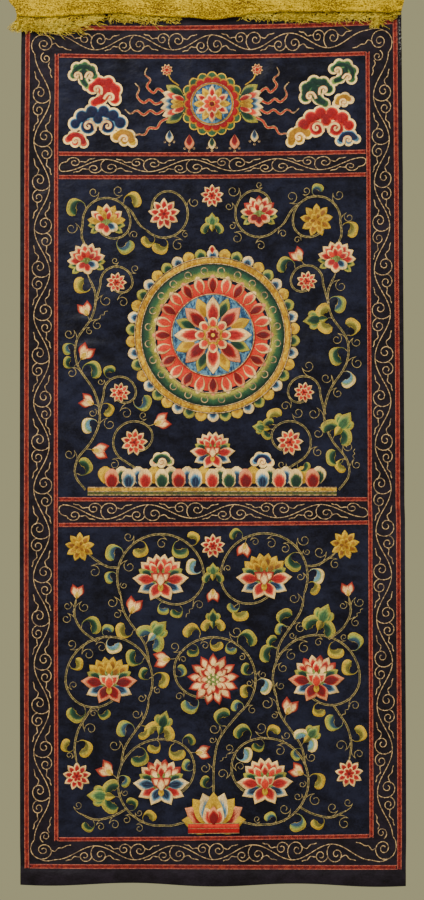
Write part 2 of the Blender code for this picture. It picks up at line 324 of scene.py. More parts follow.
def ease(value, low, high):
    """0 at low, 1 at high, easing in and out, for a number or an array."""
    share = np.clip((value - low) / (high - low), 0, 1)
    return share * share * (3 - 2 * share)


def between_rows(rows, place):
    """The rows' other columns at places between them. The first column says where each row is."""
    places, *columns = np.array(rows).T
    after = np.clip(np.searchsorted(places, place), 1, len(rows) - 1)
    share = ease(place, places[after - 1], places[after])
    return [column[after - 1] + (column[after] - column[after - 1]) * share for column in columns]


def ridges(rows, x, down):
    """How far the rows' folds stand forward."""
    height = np.zeros_like(x)
    for fold_x, fold_down, length, width, tall, turn in rows:
        over, fall, angle = x / MM - fold_x, down / MM - fold_down, math.radians(turn)
        along = (over * math.cos(angle) - fall * math.sin(angle)) / length
        across = (over * math.sin(angle) + fall * math.cos(angle)) / width
        height += tall * MM * np.exp(-(along**2) - across**2)
    return height


def hang(x, down, lift):
    """Where flat points go once the banner hangs: an array of x, y and z."""
    share = x / PANEL_HALF_WIDTH
    widen, drift, sag, tilt = between_rows(HANG, down)
    wave = HEM_WAVE_DEPTH * np.cos(2 * math.pi * x / HEM_WAVE_LENGTH)
    drop = down + sag * (1 - share * share) - tilt * share + wave * ease(down, HEM_WAVE_START, PANEL_BOTTOM)
    face = ridges(FOLDS, x, down) * ease(down, FOLDS_START, FOLDS_FULL) + ridges(CREASES, x, down)
    return np.stack([x * widen + drift, -(face + lift), -drop], axis=1)


def points_of(piece):
    points = np.empty(len(piece.data.vertices) * 3)
    piece.data.vertices.foreach_get("co", points)
    return points.reshape(-1, 3)


def set_points(piece, points):
    piece.data.vertices.foreach_set("co", points.ravel())
    piece.data.update()


def declare(piece, node=""):
    """Let the piece ride with the root, hide the solid it stands for, and print its triangles."""
    if node:
        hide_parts(node)
    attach(piece, "root")
    print(piece.name, "has", triangles(piece), "triangles")


def fasten(piece, node=""):
    """Hang a piece that was worked flat, and sew it to the silk: -y is its height off the silk."""
    x, lift, z = points_of(piece).T
    set_points(piece, hang(x, -z, -lift))
    declare(piece, node)


print("foot's middle hangs at", hang(np.zeros(1), np.array([PANEL_BOTTOM]), 0).round(4))

# %% [markdown]
# ## The silk panel
# One sheet of dark blue satin, with its foot turned up behind as a hem. A plane with many cuts is
# enough, because the hang function shapes it. The hem is the same sheet: rows past the foot go
# round a half circle and up the back. Solidify gives it the solid panel's thickness.

# %% A sheet of columns and rows
def sheet_of(name, columns, rows, place):
    """A grid whose points are placed together: place gets each point's column and row."""
    bpy.ops.object.select_all(action="DESELECT")
    bpy.ops.mesh.primitive_grid_add(x_subdivisions=columns - 1, y_subdivisions=rows - 1, size=1)
    piece = bpy.context.active_object
    piece.name = name
    x, y, _ = points_of(piece).T
    column = np.rint((x + 0.5) * (columns - 1)).astype(int)
    row = np.rint((0.5 - y) * (rows - 1)).astype(int)
    set_points(piece, place(column, row))
    return piece


def cloth(name, columns, rows, place, thickness, material):
    """A sheet with its thickness behind its face."""
    piece = sheet_of(name, columns, rows, place)
    solidify = piece.modifiers.new("thickness", "SOLIDIFY")
    solidify.thickness = thickness
    solidify.offset = -1
    apply_all(piece)
    bpy.ops.object.shade_smooth_by_angle(angle=math.radians(50))
    coat(piece, material)
    return piece


# %% [markdown]
# ## Dark satin
# Satin hides its weave: long floats lie side by side and gather light. It is nearly black blue,
# browner where it has worn, and never quite flat, so fine puckers go into the bump at two sizes.

# %% Silk material
def dark_satin():
    """Dark blue satin, browner between the bands, with worn threads at the right edge near the top."""
    paint = Paint("dark_blue_satin", 0.06)
    place = paint.place()
    x, _, z = paint.parts(place)
    broad = paint.noise(place, 14)
    cloudy = paint.noise(place, (70, 70, 105), 4, 0.6)
    fine = paint.noise(place, 620, 3, 0.6)
    shade = (broad * 0.35 + cloudy * 0.4 + fine * 0.25).step(0.38, 0.64)
    field = paint.blend(shade, (0.0008, 0.0006, 0.0016), (0.0052, 0.0058, 0.0126))
    border = paint.blend(shade, (0.0026, 0.0014, 0.0016), (0.0076, 0.0042, 0.0052))
    # The browner silk lies outside the inner bands and between each pair of cross bands.
    framed = x.size().step(0.1396, 0.1416).most((z + 0.4308).size().step(0.3518, 0.3538))
    for middle, half in ((0.1772, 0.0104), (0.4902, 0.0108)):
        framed = framed.most((z + middle).size().step(half + MM, half - MM))
    colour = paint.blend(framed * 0.75, field, border)
    patchy = paint.noise(place, 520, 3, 0.7).step(0.52, 0.6)
    worn = x.step(0.1672, 0.169) * z.step(-0.092, -0.07) * patchy
    colour = paint.blend(worn * 0.7, colour, (0.11, 0.11, 0.09))
    puckers = paint.noise(place, (75, 75, 120))
    wide = paint.noise(place, (26, 26, 39), 2)
    floats = paint.noise(place, (2600, 900, 500), 2)
    normal = paint.bump(wide * 1.1 + puckers * 0.7 + fine * 0.1 + floats * 0.02, 1.4 * MM, 0.9)
    return paint.finish(colour, 0.36 + cloudy * 0.14, normal)


satin = dark_satin()
print("the satin is made with", len(satin.node_tree.nodes), "nodes")

# %% Weave the panel
SILK_THICKNESS = 1.2 * MM
SILK_STEP = 3.2 * MM
HEM_RADIUS = 1.9 * MM
HEM_BEND_STEPS, HEM_UP_STEPS = 8, 4
HEM_TURN_UP = 12 * MM
HEM_PUFF, HEM_PUFF_DOWN, HEM_PUFF_SIZE = 1.3 * MM, 0.8185, 5 * MM

silk_columns = round(2 * PANEL_HALF_WIDTH / SILK_STEP) + 1
face_steps = round((PANEL_BOTTOM - PANEL_TOP) / SILK_STEP)


def place_silk(column, row):
    x = (column / (silk_columns - 1) * 2 - 1) * PANEL_HALF_WIDTH
    face = np.clip(row / face_steps, 0, 1)
    bend = np.clip((row - face_steps) / HEM_BEND_STEPS, 0, 1) * math.pi
    up = np.clip((row - face_steps - HEM_BEND_STEPS) / HEM_UP_STEPS, 0, 1)
    down = PANEL_TOP + face * (PANEL_BOTTOM - PANEL_TOP) - up * HEM_TURN_UP
    puff = HEM_PUFF * np.exp(-(((down - HEM_PUFF_DOWN) / HEM_PUFF_SIZE) ** 2)) * (up == 0)
    points = hang(x, down, puff)
    points[:, 1] += HEM_RADIUS * (1 - np.cos(bend))
    points[:, 2] -= HEM_RADIUS * np.sin(bend)
    return points


silk_rows = face_steps + 1 + HEM_BEND_STEPS + HEM_UP_STEPS
silk = cloth("silk_ground", silk_columns, silk_rows, place_silk, SILK_THICKNESS, satin)
declare(silk, "silk_panel")

# %% [markdown]
# ## Working in stitches
# A satin-stitched shape is a low cushion of thread with its stitches laid side by side. Its middle
# line goes a length and turns a little at each step, and a few half widths say how wide it is
# along the way. A grid follows that line, so the same lines of code make a petal, a curled leaf or
# a ring. Its UV map runs across and along the shape, which is what the thread colours follow.

# %% Cushions of stitches
FULL_HALF = 1.8 * MM


def widths_along(halves, count):
    """Half widths in metres at even places, eased between those given in millimetres."""
    return np.interp(np.linspace(0, len(halves) - 1, count), range(len(halves)), halves) * MM


def cushion(name, spine, puff, across=6, closed=False):
    """Stitches laid across a middle line, facing the viewer, with steep sides. A closed one is a disc:
    its right side is its centre, and stays full."""

    def place(column, row):
        side = column / across * 2 - 1
        x, z, heading, half = spine[len(spine) - 1 - row].T
        edge = np.maximum(-side, 0) if closed else np.abs(side)
        height = puff * (1 - edge**4) * np.minimum(half / FULL_HALF, 1)
        over, up = x + side * half * np.cos(heading), z - side * half * np.sin(heading)
        return np.stack([over, -height, up], axis=1)

    piece = sheet_of(name, across + 1, len(spine), place)
    only(piece)
    bpy.ops.object.shade_smooth()
    return piece


def satin_shape(name, rows, length, turn, halves, puff, across=6):
    """A shape worked upwards from the origin. Lengths are in millimetres and turns in degrees."""
    headings = np.radians(np.linspace(0, turn, rows + 1))
    go = length * MM / rows
    x, z = np.cumsum(np.sin(headings)) * go, (np.cumsum(np.cos(headings)) - 1) * go
    spine = np.stack([x, z, headings, widths_along(halves, rows + 1)], axis=1)
    return cushion(name, spine, puff * MM, across)


def satin_ring(name, radius, half, rows, puff):
    """A ring round the origin. With its radius as half width it closes to a disc."""
    turns = np.linspace(0, 2 * math.pi, rows + 1)
    x, z = -radius * MM * np.cos(turns), radius * MM * np.sin(turns)
    spine = np.stack([x, z, turns, np.full(rows + 1, half * MM)], axis=1)
    ring = cushion(name, spine, puff * MM, 4, closed=half == radius)
    bpy.ops.object.mode_set(mode="EDIT")
    bpy.ops.mesh.select_all(action="SELECT")
    bpy.ops.mesh.remove_doubles(threshold=0.01 * MM)
    bpy.ops.object.mode_set(mode="OBJECT")
    return ring


print("half widths eased:", widths_along((1, 2), 3))

# %% [markdown]
# ## Threads and cords
# Satin stitch shades from a strong heart to a pale rim, in steps where one dye gives way to the
# next. The steps follow the UV map, and a noise drawn out along the stitches frays them, as
# stitches of uneven length do. Couched cord is a twist of gilt paper round a silk core: it is only
# partly a metal, and its twist shows as fine slanting stripes.

# %% Dyes
def dye(red, green, blue):
    """A colour as the eye names it, from 0 to 255, made linear for the shader."""
    return tuple((value / 255) ** 2.2 for value in (red, green, blue))


SCARLET, DEEP_RED, CORAL, ROSE = dye(108, 0, 6), dye(74, 0, 3), dye(152, 40, 20), dye(152, 56, 40)
SHELL, IVORY = dye(170, 108, 70), dye(188, 160, 100)
INDIGO, SEA_BLUE, SKY = dye(2, 13, 38), dye(16, 42, 66), dye(66, 98, 114)
BOTTLE, JADE, SAGE = dye(2, 32, 22), dye(34, 62, 38), dye(88, 108, 56)
OLIVE, LEMON, OLD_GOLD, STRAW = dye(68, 64, 22), dye(122, 114, 42), dye(118, 82, 6), dye(150, 120, 26)
# The dark brown that edges petals, buds and ribbons is partly an outline and partly painted shade round the
# raised stitches.
AMBER, BROWN_OUTLINE_AND_SHADE = dye(92, 58, 10), dye(54, 36, 18)
print("scarlet, made linear:", [round(value, 3) for value in SCARLET])


# %% Thread materials
def aged(paint, colour):
    """Uneven fading and soil, a few centimetres across, and specks between the stitches."""
    place = paint.place()
    shade = (paint.noise(place, 75) * 0.45 + paint.noise(place, 1050, 2) * 0.55).step(0.37, 0.63)
    return paint.blend(1, colour, paint.blend(shade, (0.56, 0.5, 0.43), (1.18, 1.14, 1.06)), "MULTIPLY")


def satin_threads(name, kind, line, heart, middle, rim):
    """Stitches in three dyes. A petal's heart is at its foot, a bud's in its middle, a leaf's down its
    inner side, and a strip's along its middle line. The line is the colour of its edge: a pale
    outline, or a dark one that is partly an outline and partly painted shade round the raised stitches."""
    paint = Paint(name + "_threads", 0.12)
    uv = paint.uv()
    across, along, _ = paint.parts(uv)
    depth = edge = (across * 2 - 1).size()
    if kind == "petal":
        reach = (along * 1.22 - 0.26).most(0)
        depth = (edge * edge * 0.8 + reach * reach).power(0.5)
    elif kind == "bud":
        reach = (along * 1.7 - 0.75).size()
        depth = (edge * edge + reach * reach).power(0.5)
    elif kind == "leaf":
        depth = 1 - across
    lengths = paint.noise(uv, (18, 1.4, 1), 2, 0.6)
    colour = paint.ramp(depth + (lengths - 0.5) * 0.45, (0.4, heart), (0.57, middle), (0.74, rim))
    strand = paint.noise(uv, (34, 1.2, 1), 1)
    colour = paint.blend(strand.step(0.4, 0.6) * 0.3, colour, tuple(0.6 * c for c in middle))
    # A dark edge line is partly painted shade where the raised stitches meet the silk.
    colour = paint.blend(edge.step(0.8, 0.98) * 0.7, aged(paint, colour), line)
    return paint.finish(colour, 0.46 + strand * 0.18, paint.bump(strand, 0.3 * MM, 0.9))


def ring_threads(name, outer, middle, inner):
    """Stitches of a disc or ring, whose dye changes from its outside to its inside."""
    paint = Paint(name + "_disc_threads", 0.12)
    uv = paint.uv()
    lengths = paint.noise(uv, (1.5, 90, 1), 2, 0.6)
    side = paint.parts(uv)[0] + (lengths - 0.5) * 0.4
    colour = aged(paint, paint.ramp(side, (0.12, outer), (0.5, middle), (0.86, inner)))
    return paint.finish(colour, 0.46 + lengths * 0.2, paint.bump(lengths, 0.3 * MM, 0.9))


def stippled_threads(name, ground, fleck, scale=520):
    """Short stitches of two dyes mixed."""
    paint = Paint(name, 0.12)
    place = paint.place()
    fine = paint.noise(place, (scale, scale, scale * 0.5), 2, 0.6)
    broad = paint.noise(place, 60, 2)
    colour = aged(paint, paint.blend((fine * 0.75 + broad * 0.25).step(0.42, 0.6), ground, fleck))
    return paint.finish(colour, 0.5 + fine * 0.2, paint.bump(fine, 0.3 * MM, 0.8))


def gilt_cord(name, bright, dark, metal):
    """Cord that is bright where its gilt has stayed, with the stripes of its twist."""
    paint = Paint(name, 0.35)
    place = paint.place()
    x, _, z = paint.parts(place)
    twist = ((x + z) * 5200).sine() * 0.5 + 0.5
    worn = paint.noise(place, 480, 2)
    kept = worn.step(0.4, 0.6)
    colour = paint.blend(kept * 0.72 + twist * 0.28, dark, bright)
    return paint.finish(colour, 0.36 + worn * 0.25, paint.bump(twist, 0.2 * MM, 0.6), kept * metal)


threads, rounds = {}, {}
for kind, line, rows in (
    ("petal", BROWN_OUTLINE_AND_SHADE, (
        ("red", SCARLET, ROSE, IVORY), ("wine", DEEP_RED, SCARLET, SHELL), ("flame", CORAL, ROSE, IVORY),
        ("blue", INDIGO, SKY, IVORY), ("green", BOTTLE, JADE, LEMON), ("jade", BOTTLE, JADE, IVORY),
        ("gold", OLD_GOLD, STRAW, STRAW), ("amber", AMBER, OLD_GOLD, STRAW), ("cup", STRAW, IVORY, SHELL),
    )),
    ("petal", DEEP_RED, (("pink", IVORY, SHELL, SCARLET),)),
    ("petal", STRAW, (("sage", JADE, SAGE, LEMON),)),
    ("bud", BROWN_OUTLINE_AND_SHADE, (("red_bud", SCARLET, ROSE, IVORY),)),
    ("leaf", STRAW, (
        ("leaf", BOTTLE, JADE, LEMON), ("sea_leaf", SEA_BLUE, SAGE, LEMON),
        ("lemon_leaf", OLIVE, LEMON, STRAW), ("pale_leaf", SKY, SAGE, IVORY),
    )),
    ("strip", BROWN_OUTLINE_AND_SHADE, (("ribbon", CORAL, CORAL, OLD_GOLD),)),
    ("strip", SHELL, (("curl", IVORY, IVORY, SHELL),)),
):
    for name, *dyes in rows:
        threads[name] = satin_threads(name, kind, line, *dyes)
for name, *dyes in (
    ("ivory", IVORY, IVORY, SHELL), ("rose", ROSE, ROSE, SCARLET), ("red", CORAL, SCARLET, SCARLET),
    ("sky", SKY, SKY, SEA_BLUE), ("sage", SAGE, SAGE, JADE), ("halo", BOTTLE, JADE, LEMON),
    ("scarlet", SCARLET), ("wine", DEEP_RED), ("sea", SEA_BLUE), ("indigo", INDIGO), ("jade", JADE),
    ("bottle", BOTTLE), ("straw", STRAW), ("gold", OLD_GOLD),
):
    rounds[name] = ring_threads(name, *(dyes * 3)[:3])
stippled_blue = stippled_threads("stippled_blue", SEA_BLUE, SKY)
stippled_gold = stippled_threads("stippled_gold", OLD_GOLD, STRAW)
stippled_pod = stippled_threads("stippled_pod", OLIVE, SAGE, 900)
vine_look = stippled_threads("vine_threads", dye(44, 52, 26), OLIVE, 700)
gilt = gilt_cord("gilt_cord", dye(156, 126, 80), dye(60, 44, 28), 0.15)
vine_gilt = gilt_cord("vine_gilt_cord", dye(128, 108, 58), dye(58, 50, 26), 0.1)
pink_gilt = gilt_cord("pink_gilt_cord", dye(144, 72, 46), dye(84, 18, 10), 0.1)
print("thread materials:", len(threads) + len(rounds))

# %% [markdown]
# ## Placing, sewing and couching
# Each shape is modelled once and copied to its places, every copy with its own mesh. The copies
# of one motif are then joined, so the banner has tens of pieces and not thousands, and hung on
# the silk. Cords are drawn as curves and given a round bevel, which is how a cord lies: one
# length of even thickness along a line.

# %% Place and sew
STITCH_SINK = 0.05 * MM
LAYER = 0.3 * MM


def spot(x, down, turn=0, size=1, wide=1):
    """Where a shape goes, in millimetres: its turn is clockwise, and size and wide scale it."""
    move = Matrix.Translation((x * MM, 0, -down * MM))
    scale = Matrix.Diagonal((size * wide, 1, size, 1))
    return move @ Matrix.Rotation(math.radians(turn), 4, "Y") @ scale


class Embroidery:
    """The copies that make one piece of stitching, until they are joined and hung."""

    def __init__(self, name):
        self.name, self.copies = name, []

    def keep(self, piece, matrix, look, layer):
        piece.data.transform(Matrix.Translation((0, STITCH_SINK - layer * LAYER, 0)) @ matrix)
        coat(piece, look)
        self.copies.append(piece)

    def put(self, shape, matrix, look, layer=0):
        """Copy a shape to a place. A higher layer lies on the ones below it."""
        copy = add(shape.name, shape.data.copy())
        self.keep(copy, matrix, look, layer)
        if matrix.determinant() < 0:
            copy.data.flip_normals()

    def strip(self, line, halves, look, layer=0, puff=0.5):
        """Stitches across a line of points in millimetres, its half widths eased along it."""
        points = np.array(line, float) * MM
        ways = np.gradient(points, axis=0)
        headings = np.arctan2(ways[:, 0], -ways[:, 1])
        spine = np.stack([points[:, 0], -points[:, 1], headings, widths_along(halves, len(points))], axis=1)
        self.keep(cushion("strip", spine, puff * MM, 2), Matrix.Identity(4), look, layer)

    def sew(self):
        """Join the copies, and fasten them to the silk."""
        fasten(joined(self.copies, self.name))


print("a spot 10 mm to the right lies at", spot(10, 0).to_translation())

# %% Draw and couch cords
def smooth(points, step=1.6):
    """A smooth line through given points, with a point about every step of millimetres."""
    points = [np.array(p, float) for p in points]
    padded = [2 * points[0] - points[1], *points, 2 * points[-1] - points[-2]]
    line = []
    for before, start, end, after in zip(padded, padded[1:], padded[2:], padded[3:]):
        parts = max(1, math.ceil(np.linalg.norm(end - start) / step))
        for t in (n / parts for n in range(parts)):
            bend = 2 * before - 5 * start + 4 * end - after
            twist = 3 * start - before - 3 * end + after
            line.append(0.5 * (2 * start + (end - before) * t + bend * t * t + twist * t * t * t))
    line.append(points[-1])
    return line


def spiral(middle, start, turns, tight, hand=1):
    """A curl from its start round its middle, closing to a share of its first radius."""
    middle, start = np.array(middle, float), np.array(start, float)
    radius = np.linalg.norm(start - middle)
    angle = math.atan2(start[1] - middle[1], start[0] - middle[0])
    line = []
    for share in np.linspace(0, 1, max(6, round(abs(turns) * 17)) + 1):
        swing = angle + hand * share * turns * 2 * math.pi
        line.append(middle + radius * tight**share * np.array([math.cos(swing), math.sin(swing)]))
    return line


def round_threads(name, radius, lines, sides=0, caps=False):
    """Round threads as one mesh. Each line has its points in metres, and whether it closes."""
    curve = bpy.data.curves.new(name, "CURVE")
    curve.dimensions = "3D"
    curve.bevel_depth, curve.bevel_resolution, curve.use_fill_caps = radius, sides, caps
    for points, closed in lines:
        spline = curve.splines.new("POLY")
        spline.points.add(len(points) - 1)
        spline.use_cyclic_u = closed
        for point, place in zip(spline.points, points):
            point.co = (*place, 1)
    only(add(name, curve))
    bpy.ops.object.convert(target="MESH")
    return bpy.context.active_object


class Cords:
    """Lines of one kind of cord, until they are couched down as one piece."""

    FLAT, SINK = 0.8, 0.55

    def __init__(self, name, radius, look):
        self.name, self.radius, self.look, self.lines = name, radius, look, []

    def lay(self, line, closed=False, layer=0):
        """Add a line of points, each across and down in millimetres."""
        self.lines.append(([(x * MM, -layer * LAYER, -down * MM) for x, down in line], closed))

    def drawn(self):
        """The cords as one flat piece, pressed down a little."""
        piece = round_threads(self.name, self.radius, self.lines, 1, True)
        flat = points_of(piece)
        flat[:, 1] = flat[:, 1] * self.FLAT - self.SINK * self.radius
        set_points(piece, flat)
        bpy.ops.object.shade_smooth()
        coat(piece, self.look)
        return piece

    def couch(self):
        fasten(self.drawn())


print("a curl has", len(spiral((0, 0), (5, 0), 1.5, 0.2)), "points")

# %% [markdown]
# ## The gold scroll
# Between the bands runs a wave of gold cord. In each hollow of the wave a large curl springs from
# the stem, a smaller one turns back from it, and each sends out a wavering tail. One hollow is
# drawn once, in its own directions: along the run, and over to the wave's side. A loop repeats it
# to and fro down every run, a little unevenly, as a hand does.

# %% One hollow of the scroll
SCROLL_SWING = 7
SCROLL_HALF_WAVE = 38
STEM_POINTS = 22
chance = random.Random(12)


def scroll_hollow(size):
    """Lines of one hollow, at its size: each point is along the run, then over. The last line joins a
    small curl to the stem where a run ends."""
    big = spiral((-4.6, -2.2), (1, 6.9), 1.62, 0.15, -1)
    small = spiral((10.3, -3.3), (3.5, -4.2), 1.36, 0.26, 1)
    others = (
        [(-8.2, -5.6), (-10.6, -4), (-14.2, -3.1), (-17.4, -6.3), (-21, -6.9), (-23.5, -7.7)],
        [(14.3, -4.4), (17.6, -4.4), (20.4, -3.9), (23.6, -7.2), (26.2, -7.4), (28.6, -8.4)],
        [(0, 6.9), (-2.4, 5.8), (-3.2, 1.6), (-1, -2.6), (3.5, -4.2)],
    )
    return [[p * size for p in line] for line in (big, small, *map(smooth, others))]


print("points in one hollow:", [len(line) for line in scroll_hollow(np.ones(2))])


def scroll_run(cords, corner, length, waves, reach, upright, out, ended=0):
    """A wave with its curls. corner is where it starts, out the side on which it starts."""
    half_wave = length / waves

    def flat(along, over):
        return (corner[0] + over, corner[1] + along) if upright else (corner[0] + along, corner[1] + over)

    wobble = [chance.uniform(-0.35, 0.35) for _ in range(waves * 2 + 2)]
    stem = []
    for share in np.linspace(0, waves, waves * STEM_POINTS + 1):
        uneven = np.interp(share * 2, range(len(wobble)), wobble)
        stem.append(flat(share * half_wave, out * SCROLL_SWING * reach * math.cos(math.pi * share) + uneven))
    cords.lay(stem)
    for wave in range(1 - ended, waves + ended):
        side = out * (-1) ** wave
        size = min(reach, 1) * chance.uniform(0.93, 1.04)
        heading = -1 if wave == waves or not (upright or wave == 0) else 1
        hollow = scroll_hollow(np.array([half_wave / SCROLL_HALF_WAVE * heading, size]))
        for number in (1, 3, 4) if wave in (0, waves) else range(4):
            cords.lay([flat(wave * half_wave + along, side * over) for along, over in hollow[number]])


# %% Lay the scroll round the banner
LEFT_MIDDLE, RIGHT_MIDDLE = -153.4, 154.1
TOP_MIDDLE, BOTTOM_MIDDLE = 65.2, 796.6
CORNER_REACH = 12.5

scroll = Cords("gold_scroll", 0.45 * MM, gilt)
side_length = BOTTOM_MIDDLE - TOP_MIDDLE - 2 * CORNER_REACH
level_length = RIGHT_MIDDLE - LEFT_MIDDLE - 2 * CORNER_REACH
for x, out in ((LEFT_MIDDLE, -1), (RIGHT_MIDDLE, 1)):
    scroll_run(scroll, (x, TOP_MIDDLE + CORNER_REACH), side_length, 18, 1, True, out)
for down, out in ((TOP_MIDDLE, -1), (BOTTOM_MIDDLE, 1)):
    scroll_run(scroll, (LEFT_MIDDLE + CORNER_REACH, down), level_length, 8, 0.96, False, out)
for down, reach, out in ((177.2, 0.78, 1), (490.2, 0.84, -1)):
    scroll_run(scroll, (-134.5, down), 271, 7, reach, False, out, 1)
# Each corner has a large curl, a bridge between the two stems, and a small curl with two tails.
corner_lines = [
    spiral((-1.2, -2.4), (SCROLL_SWING, -CORNER_REACH), 2.05, 0.14),
    smooth([(2.4, 6.6), (-4, 8.4), (-CORNER_REACH, SCROLL_SWING)]),
    spiral((-3.2, -15.6), (-1, -10.4), 1.35, 0.26, -1),
    smooth([(-6.4, -19), (-5.2, -22.5), (-7.4, -26), (-7, -29.5), (-8.6, -33)]),
    smooth([(-8.6, -2.4), (-11.5, -1.2), (-14.6, -4.6), (-18, -4.8), (-22, -7), (-26, -7.6)]),
]
for x, out in ((LEFT_MIDDLE, -1), (RIGHT_MIDDLE, 1)):
    for down, out_down in ((TOP_MIDDLE, -1), (BOTTOM_MIDDLE, 1)):
        for line in corner_lines:
            scroll.lay([(x + out * over, down + out_down * fall) for over, fall in line])
scroll.couch()

# %% [markdown]
# ## The red and gold bands
# Each band is two rows of slanting red stitches, close as the plait of a rope, held between two
# gilt cords. One pair of stitches is modelled from a small sphere, and Array repeats it down the
# band. The cords are two straight lengths. Joined, they stand for the band's plain strip.

# %% One pair of stitches
STITCH_PITCH = 1.7 * MM
STITCH_SIZE = (0.62 * MM, 0.5 * MM, 1.25 * MM)
STITCH_SLANT = 32
STITCH_ASIDE, STITCH_UP = 0.62 * MM, 0.35 * MM

pair = []
for side in (-1, 1):
    bpy.ops.object.select_all(action="DESELECT")
    bpy.ops.mesh.primitive_uv_sphere_add(segments=4, ring_count=4, radius=1)
    stitch = bpy.context.active_object
    bpy.ops.object.mode_set(mode="EDIT")
    bpy.ops.mesh.select_all(action="SELECT")
    bpy.ops.transform.resize(value=STITCH_SIZE, center_override=(0, 0, 0))
    bpy.ops.object.mode_set(mode="OBJECT")
    slant = Matrix.Rotation(math.radians(side * STITCH_SLANT), 4, "Y")
    stitch.data.transform(Matrix.Translation((side * STITCH_ASIDE, -STITCH_UP, 0)) @ slant)
    pair.append(stitch)
stitch_pair = joined(pair, "stitch_pair")
bpy.ops.object.shade_smooth()
print("a pair has", triangles(stitch_pair), "triangles")


# %% Red stitching and the bands
def red_stitching():
    paint = Paint("red_stitching", 0.2)
    place = paint.place()
    worn = paint.noise(place, 420, 2)
    colour = paint.ramp(worn, (0.34, dye(68, 8, 5)), (0.52, dye(98, 22, 13)), (0.68, dye(122, 44, 26)))
    strand = paint.noise(place, (4200, 900, 2600), 1)
    return paint.finish(colour, 0.46 + worn * 0.2, paint.bump(strand, 0.15 * MM, 0.5))


END_ROOM = 0.6
CORD_IN = 0.45
CORD_STEP = 5
red_look = red_stitching()


def work_band(node, left, right, top, bottom):
    """Stitch a band along its run and couch a cord down each side. Its edges are in millimetres."""
    upright = bottom - top > right - left
    start, end, near, far = (top, bottom, left, right) if upright else (left, right, top, bottom)
    middle = (near + far) / 2
    count = int(((end - start - END_ROOM) * MM) / STITCH_PITCH)
    first = (start + end) / 2 * MM - (count - 1) * STITCH_PITCH / 2
    stitches = add("stitches", stitch_pair.data.copy())
    if not upright:
        stitches.data.transform(Matrix.Rotation(math.radians(-90), 4, "Y"))
    array = stitches.modifiers.new("repeat", "ARRAY")
    array.count = count
    array.use_relative_offset, array.use_constant_offset = False, True
    array.constant_offset_displace = (0, 0, -STITCH_PITCH) if upright else (STITCH_PITCH, 0, 0)
    apply_all(stitches)
    at = (middle * MM, 0, -first) if upright else (first, 0, -middle * MM)
    stitches.data.transform(Matrix.Translation(at))
    coat(stitches, red_look)
    cords = Cords(node + "_cords", 0.38 * MM, pink_gilt)
    points = math.ceil((end - start) / CORD_STEP) + 1
    runs = np.linspace(start + END_ROOM / 2, end - END_ROOM / 2, points)
    half = (far - near) / 2 - CORD_IN
    for across in (middle - half, middle + half):
        cords.lay([(across, run) if upright else (run, across) for run in runs])
    fasten(joined([cords.drawn(), stitches], "couched_" + node), node=node)


for name, half, left, right, top, bottom in (
    ("outer", 2.1, -167.2, 167.2, 51.8, 810), ("inner", 1.9, -140.6, 142, 78, 783.6),
):
    for side, x in (("left", left), ("right", right)):
        work_band(f"{name}_band_{side}", x - half, x + half, top - half, bottom + half)
    for side, down in (("top", top), ("bottom", bottom)):
        work_band(f"{name}_band_{side}", left + half, right - half, down - half, down + half)
# The cross bands run between the inner ones.
for number, down in enumerate((166.7, 187.7, 479.3, 501.2), start=1):
    work_band(f"cross_band_{number}", left + half, right - half, down - half, down + half)
bpy.data.objects.remove(stitch_pair)

# %% [markdown]
# ## The yellow heading
# A soft crepe silk is folded over the panel's top and rolled under along its lower edge. It is a
# sheet with a section: out from the seam, down the front, round the roll and a little way up
# behind. Above the roll a crease is pinched in where it has long been folded.

# %% Crepe and net materials
def crepe_silk(name, light, dark, grain=1):
    """A soft ribbed silk whose threads catch the light in specks, with paler and browner places."""
    paint = Paint(name, 0.08)
    place = paint.place()
    faded = paint.noise(place, (26, 26, 57.2), 4, 0.6)
    pebble = paint.noise(place, (720 * grain, 900 * grain, 1170 * grain), 2, 0.7)
    ribs = paint.noise(place, (170, 400, 900), 2)
    shade = (pebble * 0.62 + ribs * 0.2 + faded * 0.24).step(0.43, 0.64)
    normal = paint.bump(pebble * 0.8 + ribs * 0.4, 0.7 * MM, 1)
    return paint.finish(paint.blend(shade, dark, light), 0.72 + pebble * 0.15, normal)


def netted_silk(name, light, dark, hole_shade):
    """Silk gone to an open net: pale threads round small holes, which are not cut but painted dark as shade.
    """
    paint = Paint(name, 0.1)
    place = paint.place()
    wander = paint.blend(1, paint.noise(place, 130, 2), (0.006,) * 3, "MULTIPLY")
    pulled = paint.node("ShaderNodeVectorMath", {"operation": "ADD"}, place, wander)
    net = paint.node("ShaderNodeVectorMath", {"operation": "MULTIPLY"}, pulled, (1, 1, 1.5))
    cells = paint.node("ShaderNodeTexVoronoi", {"feature": "DISTANCE_TO_EDGE"}, Vector=net, Scale=250)
    pebble = paint.noise(place, 1100, 2, 0.7)
    shade = (pebble * 0.7 + paint.noise(place, 50, 2) * 0.3).step(0.4, 0.62)
    open_places = paint.noise(place, 60).step(0.36, 0.56)
    # The open places are painted in the dark colour: painted shade seen through the net.
    colour = paint.blend(cells.step(0.1, 0.24) * open_places, paint.blend(shade, dark, light), hole_shade)
    normal = paint.bump(1 - cells.step(0.05, 0.3) + pebble * 0.4, 0.8 * MM, 1)
    return paint.finish(colour, 0.75 + pebble * 0.1, normal)


crepe_look = crepe_silk("yellow_crepe", dye(158, 130, 0), dye(62, 44, 0))
print("the crepe is made with", len(crepe_look.node_tree.nodes), "nodes")

